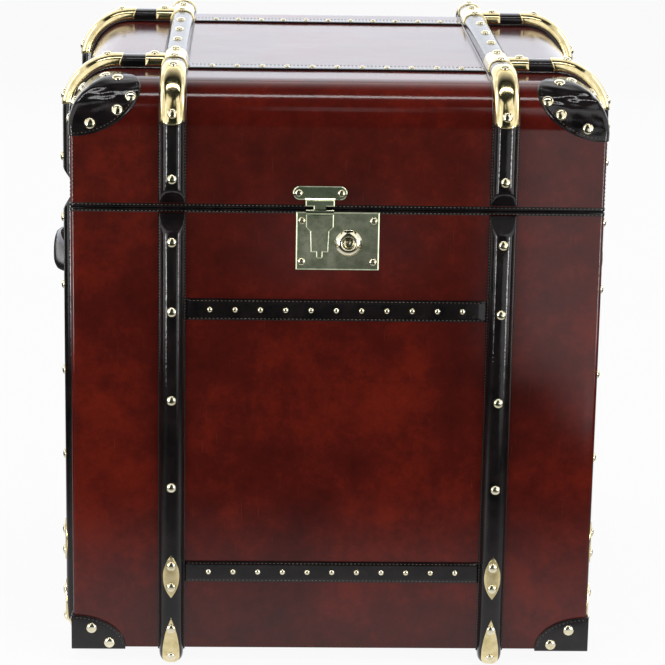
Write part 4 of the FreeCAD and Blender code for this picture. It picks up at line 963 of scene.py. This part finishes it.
def addHead(stock, place):
    base, axis, side, up = headFrame(place)
    _, _, width, rise = place
    isCorner = min(abs(base.x), abs(base.y)) > nail["cornerFrom"]
    radius = width / 2 * nail["cornerGrow" if isCorner else "grow"]
    turns = [math.tau * step / nail["segments"] for step in range(nail["segments"])]
    spokes = [side * math.cos(turn) + up * math.sin(turn) for turn in turns]
    addLoft(stock, [[base + axis * (height * rise) + spoke * radius * share for spoke in spokes]
                    for share, height in nail["profile"]])


def addScrew(stock, place, slotTurn):
    # a domed head cut across by a driver slot
    base, axis, side, up = headFrame(place)
    _, _, width, rise = place
    slotAlong = side * math.sin(slotTurn) + up * math.cos(slotTurn)
    slotAcross = side * math.cos(slotTurn) - up * math.sin(slotTurn)
    radius = width / 2
    half = screw["slot"] / 2
    rim = half + screw["ease"]
    high = rise * screw["grow"]
    stations = [rim + (radius - rim) * share for share in (0, 0.15, 0.35, 0.55, 0.75, 0.9, 1)]
    stations = [-spot for spot in reversed(stations)] + [-half, -half, half, half] + stations
    rows = []
    for number, spot in enumerate(stations):
        reach = math.sqrt(max(radius ** 2 - spot ** 2, 0))
        limit = high - screw["slotDepth"] if number in (8, 9) else math.inf   # the slot's floor
        row = []
        for step in range(13):
            along = -reach + 2 * reach * step / 12
            away = min(math.hypot(along, spot) / radius, 1)
            height = min(high * (0.25 + 0.75 * math.sqrt(max(1 - away ** 2.4, 0))), limit)
            row.append(base + axis * height + slotAcross * spot + slotAlong * along)
        low = base - axis * 0.1 + slotAcross * spot
        rows.append(row + [low + slotAlong * end for end in (reach, -reach)])
    addLoft(stock, rows)


def buildHeads():
    for kind in ("body", "strap", "lid"):
        stock = newStock()
        for place in headPlaces(kind + "_nails"):
            addHead(stock, place)
        makePiece(kind + "Nails", stock, cream, kind + "_nails", sharp=60)
    for kind in ("body", "lid"):
        stock = newStock()
        for number, place in enumerate(headPlaces(kind + "_screws")):
            addScrew(stock, place, 0.2 + (number * 0.9) % 0.7)
        makePiece(kind + "Screws", stock, cream, kind + "_screws", sharp=40)


buildHeads()
print("nails and screws driven")


# lock, hasp and hinges

lock = {"x": 10.3, "z": 419.5, "face": -251.6, "ringSteps": 144, "ringRadius": 12.7, "crown": 2.9,
        "bore": 5.9, "pitAcross": 10.3, "pitDown": 2.2, "pitRadius": 1.15, "pitDepth": 1.5}


def buildLock():
    eased("lock_plate", "lockPlate", pale, 1.1, 1, lean=0.55, shortest=1.5)
    # the escutcheon is lathe-turned, with two spanner pits, left and right
    profile = [(lock["bore"], 0), (lock["ringRadius"], 0)]
    for step in range(17):
        swing = math.sin(math.radians(90 * min(step / 15, 1)))
        profile.append((lock["ringRadius"] - 0.35 * step, 0.7 + lock["crown"] * swing))
    profile += [(6.7, 3.5), (6.3, 3.2), (6.05, 2.6), (lock["bore"], 2.2)]
    rings = []
    for radius, height in profile:
        ring = []
        for step in range(lock["ringSteps"]):
            turn = math.tau * step / lock["ringSteps"]
            x, z = radius * math.cos(turn), radius * math.sin(turn)
            y = lock["face"] - height
            away = min(math.hypot(x - side * lock["pitAcross"], z + lock["pitDown"]) for side in (-1, 1))
            if away < lock["pitRadius"] and height > 0.5:
                y = min(y + lock["pitDepth"], lock["face"] - 0.4)
            ring.append((lock["x"] + x, y, lock["z"] + z))
        rings.append(ring)
    stock = newStock()
    addGrid(stock, rings, loop=True, close=True)
    makePiece("escutcheonRing", stock, cream, "escutcheon", sharp=50)
    eased("key_plug", "keyPlug", cream, 0.3)
    eased("hasp_leaf", "haspLeaf", pale, 0.9, 1, lean=0.55, join=0.5)
    eased("hasp_plate", "haspPlate", pale, 0.9, 1, lean=0.55)
    for node, name, finish, width, segments in (
            ("hasp_pin", "haspPin", gilt, 0.3, 2), ("lower_hinge_leaves", "lowerHinges", gilt, 0.4, 2),
            ("upper_hinge_leaves", "upperHinges", gilt, 0.4, 2), ("hinge_pins", "hingePins", gilt, 0.4, 2),
            ("lock_case", "lockCase", steel, 0.3, 1), ("lock_bolt", "lockBolt", steel, 0.3, 1),
            ("left_handle_brackets", "leftBrackets", gilt, 0.5, 2),
            ("right_handle_brackets", "rightBrackets", gilt, 0.5, 2)):
        eased(node, name, finish, width, segments)


buildLock()
print("lock, hasp and hinges fitted")


# handles

grip = {"length": 160, "endHalf": 9.6, "midHalf": 18.6, "endBack": 255.2, "endFront": 265.8,
        "midBack": 269.6, "midFront": 283.4, "level": 354, "stations": 36, "around": 28, "power": 0.8,
        "seam": 62}


def buildHandles():
    for name, turns in (("left", left), ("right", right)):
        seams = {1: [], -1: []}
        rings = []
        for step in range(grip["stations"] + 1):
            share = 2 * step / grip["stations"] - 1
            x = share * grip["length"] / 2
            bow = (0.5 + 0.5 * math.cos(math.pi * min(abs(share) / 0.98, 1))) ** 0.75
            rounding = 1 - max((abs(share) - 0.965) / 0.035, 0) * 0.18
            inner, outer, high = (grip["end" + field] + (grip["mid" + field] - grip["end" + field]) * bow
                                  for field in ("Back", "Front", "Half"))
            high *= rounding
            centre = (inner + outer) / 2
            thick = (outer - inner) / 2 * rounding

            def skin(turn):
                c, s = math.cos(turn), math.sin(turn)
                out = math.copysign(abs(c) ** grip["power"], c) * thick * (0.55 if c < 0 else 1.0)
                up = math.copysign(abs(s) ** grip["power"], s) * high
                lean = -0.22 * high * max(c, 0) * (1 - abs(s))
                return turned((x, centre + out, grip["level"] + up + lean), turns)

            rings.append([skin(math.tau * number / grip["around"]) for number in range(grip["around"])])
            if abs(share) < 0.93:
                for edge in (-1, 1):
                    seams[edge].append((skin(math.radians(grip["seam"]) * edge),
                                        turned((0, 0.75, 0.66 * edge), turns)))
        stock = newStock()
        stitches = newStock()
        addLoft(stock, rings)
        for edge in (-1, 1):
            addStitches(stitches, seams[edge])
        makePiece(name + "Grip", stock, trim, name + "_handle", sharp=50)
        makePiece(name + "GripStitches", stitches, thread, body=name + "_grip", sharp=80)


buildHandles()
print("handles hung")


# lining

lining = {"half": 237.8, "outside": 238.9, "floor": 26.2, "rim": 449.4, "round": 7, "lidBoards": 12.2,
          "thickness": 1.1, "puffSize": 40}


def buildLining():
    half, radius, outside = lining["half"], lining["round"], lining["outside"]
    stations = spread(-half + radius, half - radius, 16)

    def ring(size, z, corner, puff=0.0):
        scale = (size - corner) / (half - radius)
        row = []
        for x, y, outX, outY in planRing(size, corner, [spot * scale for spot in stations]):
            push = puff * noise.noise(Vector((x, y, z)) / lining["puffSize"])
            row.append((x + outX * push, y + outY * push, z))
        return row

    low, high = lining["floor"], lining["rim"]
    rows = [ring(size, low, corner) for size, corner in ((60, 3), (140, 4), (200, 5), (half - 6, 5))]
    rows += [ring(half - 2, low + 1.2, 6), ring(half - 0.4, low + 4, 7)]
    rows += [ring(half, z, radius, 0.35) for z in spread(low + 10, high - 2, 16)]
    rows += [ring(half + 0.3, high, radius), ring(outside, high, radius), ring(outside, low - 1, radius),
             ring(60, low - 1, 3)]
    stock = newStock()
    addLoft(stock, rows)
    makePiece("bodyLining", stock, twill, "body_lining", sharp=50)

    top = lidTop - lining["lidBoards"]
    arc = edgeRadius - lining["lidBoards"]
    centre = half - arc
    low = trunk["lidBottom"] + 1.6

    def bend(step, radius):
        turn = math.radians(90 * step / 8)
        return ring(centre + radius * math.sin(turn), top - arc + radius * math.cos(turn), 5)

    rows = [ring(60, top, 3), ring(140, top, 4), ring(centre - 8, top, 5)]
    rows += [bend(step, arc) for step in range(9)]
    rows += [ring(half, z, 5, 0.3) for z in reversed(spread(low + 2, top - arc - 6, 14))]
    rows += [ring(half, low, 5), ring(outside, low, 5), ring(outside, top - arc, 5)]
    rows += [bend(step, arc + lining["thickness"]) for step in range(8, -1, -1)]
    rows += [ring(60, top + lining["thickness"], 3)]
    stock = newStock()
    addLoft(stock, rows)
    makePiece("lidLining", stock, twill, "lid_lining", sharp=50)


buildLining()
print("linings glued in")

makePiece("bodyStitching", bodyStitches, thread, body="trunk_body", sharp=80)
makePiece("lidStitching", lidStitches, thread, body="lid", sharp=80)

for node in ("base_board", "front_board", "back_board", "left_board", "right_board", "lid_top_board",
             "lid_front_rail", "lid_back_rail", "lid_left_rail", "lid_right_rail"):
    nodes[node].data.materials.clear()
    nodes[node].data.materials.append(poplar)
eased("base_leather", "baseHide", hide, 0.5)
print("stitches sewn, boards finished")


# studio, in metres; the brightnesses are in watts per square metre and steradian

studio = {"world": 0.28, "table": 0.93, "flagNear": 0.27, "flagDark": 0.8, "flagFar": 1.35,
          "wallHeight": 0.45, "wallEnd": 0.27, "tableEnd": 0.34, "roof": 2.9}
bright = {"low": 17, "soft": 1.25, "ridge": 8.0, "top": 1.3, "rear": 0.67, "flank": 2.6, "card": 2.2,
          "plate": 0.26, "brim": 0.6}
view = {"place": (-0.0869, -2.7327, 0.9852), "yaw": 1.93, "pitch": 14.73, "roll": 1.007, "lens": 146.92}


def panel(x0, x1, near, far):
    # corners between two edges along X, each given as (y, z)
    return [(x0, *near), (x1, *near), (x1, *far), (x0, *far)]


def standing(start, end, low, high):
    # corners of an upright card between two (x, y) places
    return [(*start, low), (*end, low), (*end, high), (*start, high)]


def addStage(name, corners, material, mirrored=True):
    mesh = bpy.data.meshes.new(name)
    mesh.from_pydata(corners, [], [(0, 1, 2, 3)])
    mesh.materials.append(material)
    item = bpy.data.objects.new(name, mesh)
    bpy.context.scene.collection.objects.link(item)
    if mirrored:   # left to reflections only
        item.visible_camera = item.visible_diffuse = item.visible_shadow = item.visible_transmission = False


def addCard(name, corners, strength, cloud=0.0):
    # a white card that only reflections see, so it lights nothing
    card, tree, place = newMaterial(name + "White")
    mist = addNode(tree, "TexNoise", {"Vector": place, "Scale": perMetre(90), "Detail": 1.0})
    level = addNode(tree, "MapRange", {"Value": mist, "From Min": 0.35, "From Max": 0.65,
                                       "To Min": 1 - cloud, "To Max": 1 + cloud})
    coverWith(tree, "Emission", {"Color": level, "Strength": strength})
    addStage(name, corners, card)


def addLight(name, place, aim, width, height, radiance, colour=(1, 1, 1)):
    data = bpy.data.lights.new(name, "AREA")
    data.shape = "RECTANGLE"
    data.size = width
    data.size_y = height
    data.color = colour
    data.energy = radiance * math.pi * width * height
    lamp = bpy.data.objects.new(name, data)
    lamp.location = place
    lamp.rotation_euler = (Vector(aim) - Vector(place)).to_track_quat("-Z", "Y").to_euler()
    lamp.visible_camera = False
    bpy.context.scene.collection.objects.link(lamp)
    return lamp


def shownRays(tree):
    # 1 for what the eye sees, straight or in a reflection or through glass
    rays = addNode(tree, "LightPath").outputs
    seen = addNode(tree, "Math", {0: rays["Is Camera Ray"], 1: rays["Is Glossy Ray"]}, operation="MAXIMUM")
    return addNode(tree, "Math", {0: seen, 1: rays["Is Transmission Ray"]}, operation="MAXIMUM")


def buildWorld():
    world = bpy.data.worlds.new("softStudio")
    bpy.context.scene.world = world
    world.use_nodes = True
    tree = world.node_tree
    tree.nodes.clear()
    strength = addNode(tree, "MapRange", {"Value": shownRays(tree), "To Min": studio["world"]})
    sky = addNode(tree, "Background", {"Color": (1, 1, 1, 1), "Strength": strength})
    addNode(tree, "OutputWorld", {"Surface": sky})


def buildTable():
    # matt white table: pale to the eye and in reflections, but it keeps the trunk's shadow
    table, tree, place = newMaterial("mattWhiteTable")
    wear = addNode(tree, "TexNoise", {"Vector": place, "Scale": perMetre(400), "Detail": 2.0})
    tone = addNode(tree, "ValToRGB", {"Fac": wear}, stops=((0, "#F1F1F1"), (1, "#F6F6F6")))
    shader = addNode(tree, "BsdfPrincipled", {"Base Color": tone, "Roughness": 0.9})
    share = addNode(tree, "Math", {0: shownRays(tree), 1: studio["table"]}, operation="MULTIPLY")
    glow = addNode(tree, "Emission", {"Color": (1, 1, 1, 1), "Strength": 1.0})
    coverWith(tree, "MixShader", {0: share, 1: shader, 2: glow})
    addStage("tableTop", panel(-9, 9, (-9, 0), (9, 0)), table, mirrored=False)


def buildFlags():
    # the table and low walls as reflections see them: white at the trunk's foot, grey-green further out
    graded, tree, place = newMaterial("gradedTable")
    apart = addNode(tree, "SeparateXYZ", {"Vector": place}).outputs
    size = [addNode(tree, "Math", {0: apart[axis]}, operation="ABSOLUTE") for axis in ("X", "Y")]
    away = addNode(tree, "Math", {0: size[0], 1: size[1]}, operation="MAXIMUM")
    fade = addNode(tree, "MapRange", {"Value": away, "From Min": studio["flagNear"],
                                      "From Max": studio["flagDark"]}, interpolation_type="SMOOTHSTEP")
    rise = addNode(tree, "MapRange", {"Value": apart["Z"], "From Min": 0.08, "From Max": 0.2})
    dark = addNode(tree, "MixRGB", {"Fac": rise, "Color1": linear("#262B28"), "Color2": linear("#46524A")})
    tone = addNode(tree, "MixRGB", {"Fac": fade, "Color1": linear("#EDEDED"), "Color2": dark})
    coverWith(tree, "Emission", {"Color": tone, "Strength": 1.0})
    near, far, high = studio["flagNear"], studio["flagFar"], studio["wallHeight"]
    for turns in range(4):
        # open on the right of the front, where a white wall shows
        tableEnd, wallEnd = (studio["tableEnd"], studio["wallEnd"]) if turns == front else (1.0, 1.0)
        for name, corners in (("lowFlag", panel(-wallEnd, 1.0, (far, 0), (far, high))),
                              ("tableFlag", panel(-tableEnd, 1.0, (near, 0.003), (far, 0.003)))):
            addStage(name + str(turns), [turned(point, turns) for point in corners], graded)

    # black felt flags give polished brass its dark tones
    felt, tree, place = newMaterial("blackFelt")
    fibre = addNode(tree, "TexNoise", {"Vector": place, "Scale": perMetre(30)})
    tone = addNode(tree, "ValToRGB", {"Fac": fibre}, stops=((0, "#1D2420"), (1, "#2B342C")))
    coverWith(tree, "BsdfPrincipled", {"Base Color": tone, "Roughness": 0.95, "Specular IOR Level": 0.1})
    roof = studio["roof"]
    addStage("roofFlag", panel(-2.5, 2.5, (-2.6, roof), (0.1, roof)), felt)
    addStage("browFlag", panel(-2.5, 2.5, (-2.6, roof), (-3.2, 0.3)), felt)

    # a graded card softens the roof flag's rear edge
    whitening, tree, place = newMaterial("roofFadeWhite")
    along = addNode(tree, "SeparateXYZ", {"Vector": place}).outputs["Y"]
    fade = addNode(tree, "MapRange", {"Value": along, "From Min": 0.1, "From Max": 2.2})
    curve = addNode(tree, "Math", {0: fade, 1: 1.6}, operation="POWER")
    coverWith(tree, "Emission", {"Color": curve, "Strength": bright["card"]})
    addStage("roofFade", panel(-2.5, 2.5, (0.1, roof), (2.2, roof)), whitening)


def buildLamps():
    aim = (0, 0, 0.3)
    # the grey that the lock plate mirrors, and the brim above it
    addCard("plateCard", panel(-0.06, 0.15, (-1.34, 0.12), (-1.34, 0.215)), bright["plate"], 0.4)
    addCard("brimCard", panel(-0.02, 0.17, (-1.6, 1.57), (-1.6, 2.05)), bright["brim"])
    for side, name in ((-1, "Left"), (1, "Right")):
        strip = standing((side * 0.72, -1.25), (side * 0.84, -1.17), 0.02, 0.46)
        beside = standing((side * 1.3, -1.15), (side * 1.3, -0.65), 0, 0.7)
        addCard("lowStrip" + name, strip, bright["low"])
        addCard("sideCard" + name, beside, bright["card"])
        name = name.lower()
        addLight(name + "Softbox", (side * 0.84, -1.5, 1.25), (0, -0.25, 0.5), 0.9, 1.7, bright["soft"])
        addLight(name + "FlankSoftbox", (side * 2.4, 0.5, 1.2), aim, 1.0, 1.5, bright["flank"])
    addLight("ridgeStrip", (0, -0.6, 2.5), (0, -0.25, 0.55), 2.6, 0.2, bright["ridge"])
    top = addLight("topSoftbox", (0, -0.4, 2.7), aim, 1.8, 1.4, bright["top"])
    top.visible_glossy = False
    addLight("rearSoftbox", (0, 2.7, 1.45), (0, 0, 0.6), 5.0, 2.3, bright["rear"], (0.75, 0.83, 1.0))


def buildCamera():
    scene = bpy.context.scene
    data = bpy.data.cameras.new("camera")
    data.sensor_width = 36
    data.lens = view["lens"]
    camera = bpy.data.objects.new("camera", data)
    camera.location = view["place"]
    yaw, pitch, roll = (math.radians(view[field]) for field in ("yaw", "pitch", "roll"))
    aimed = Matrix.Rotation(-yaw, 3, "Z") @ Matrix.Rotation(math.pi / 2 - pitch, 3, "X")
    camera.rotation_euler = (aimed @ Matrix.Rotation(roll, 3, "Z")).to_euler()
    scene.collection.objects.link(camera)
    scene.camera = camera
    scene.view_settings.view_transform = "Standard"


buildWorld()
buildTable()
buildFlags()
buildLamps()
buildCamera()
print("studio lit")
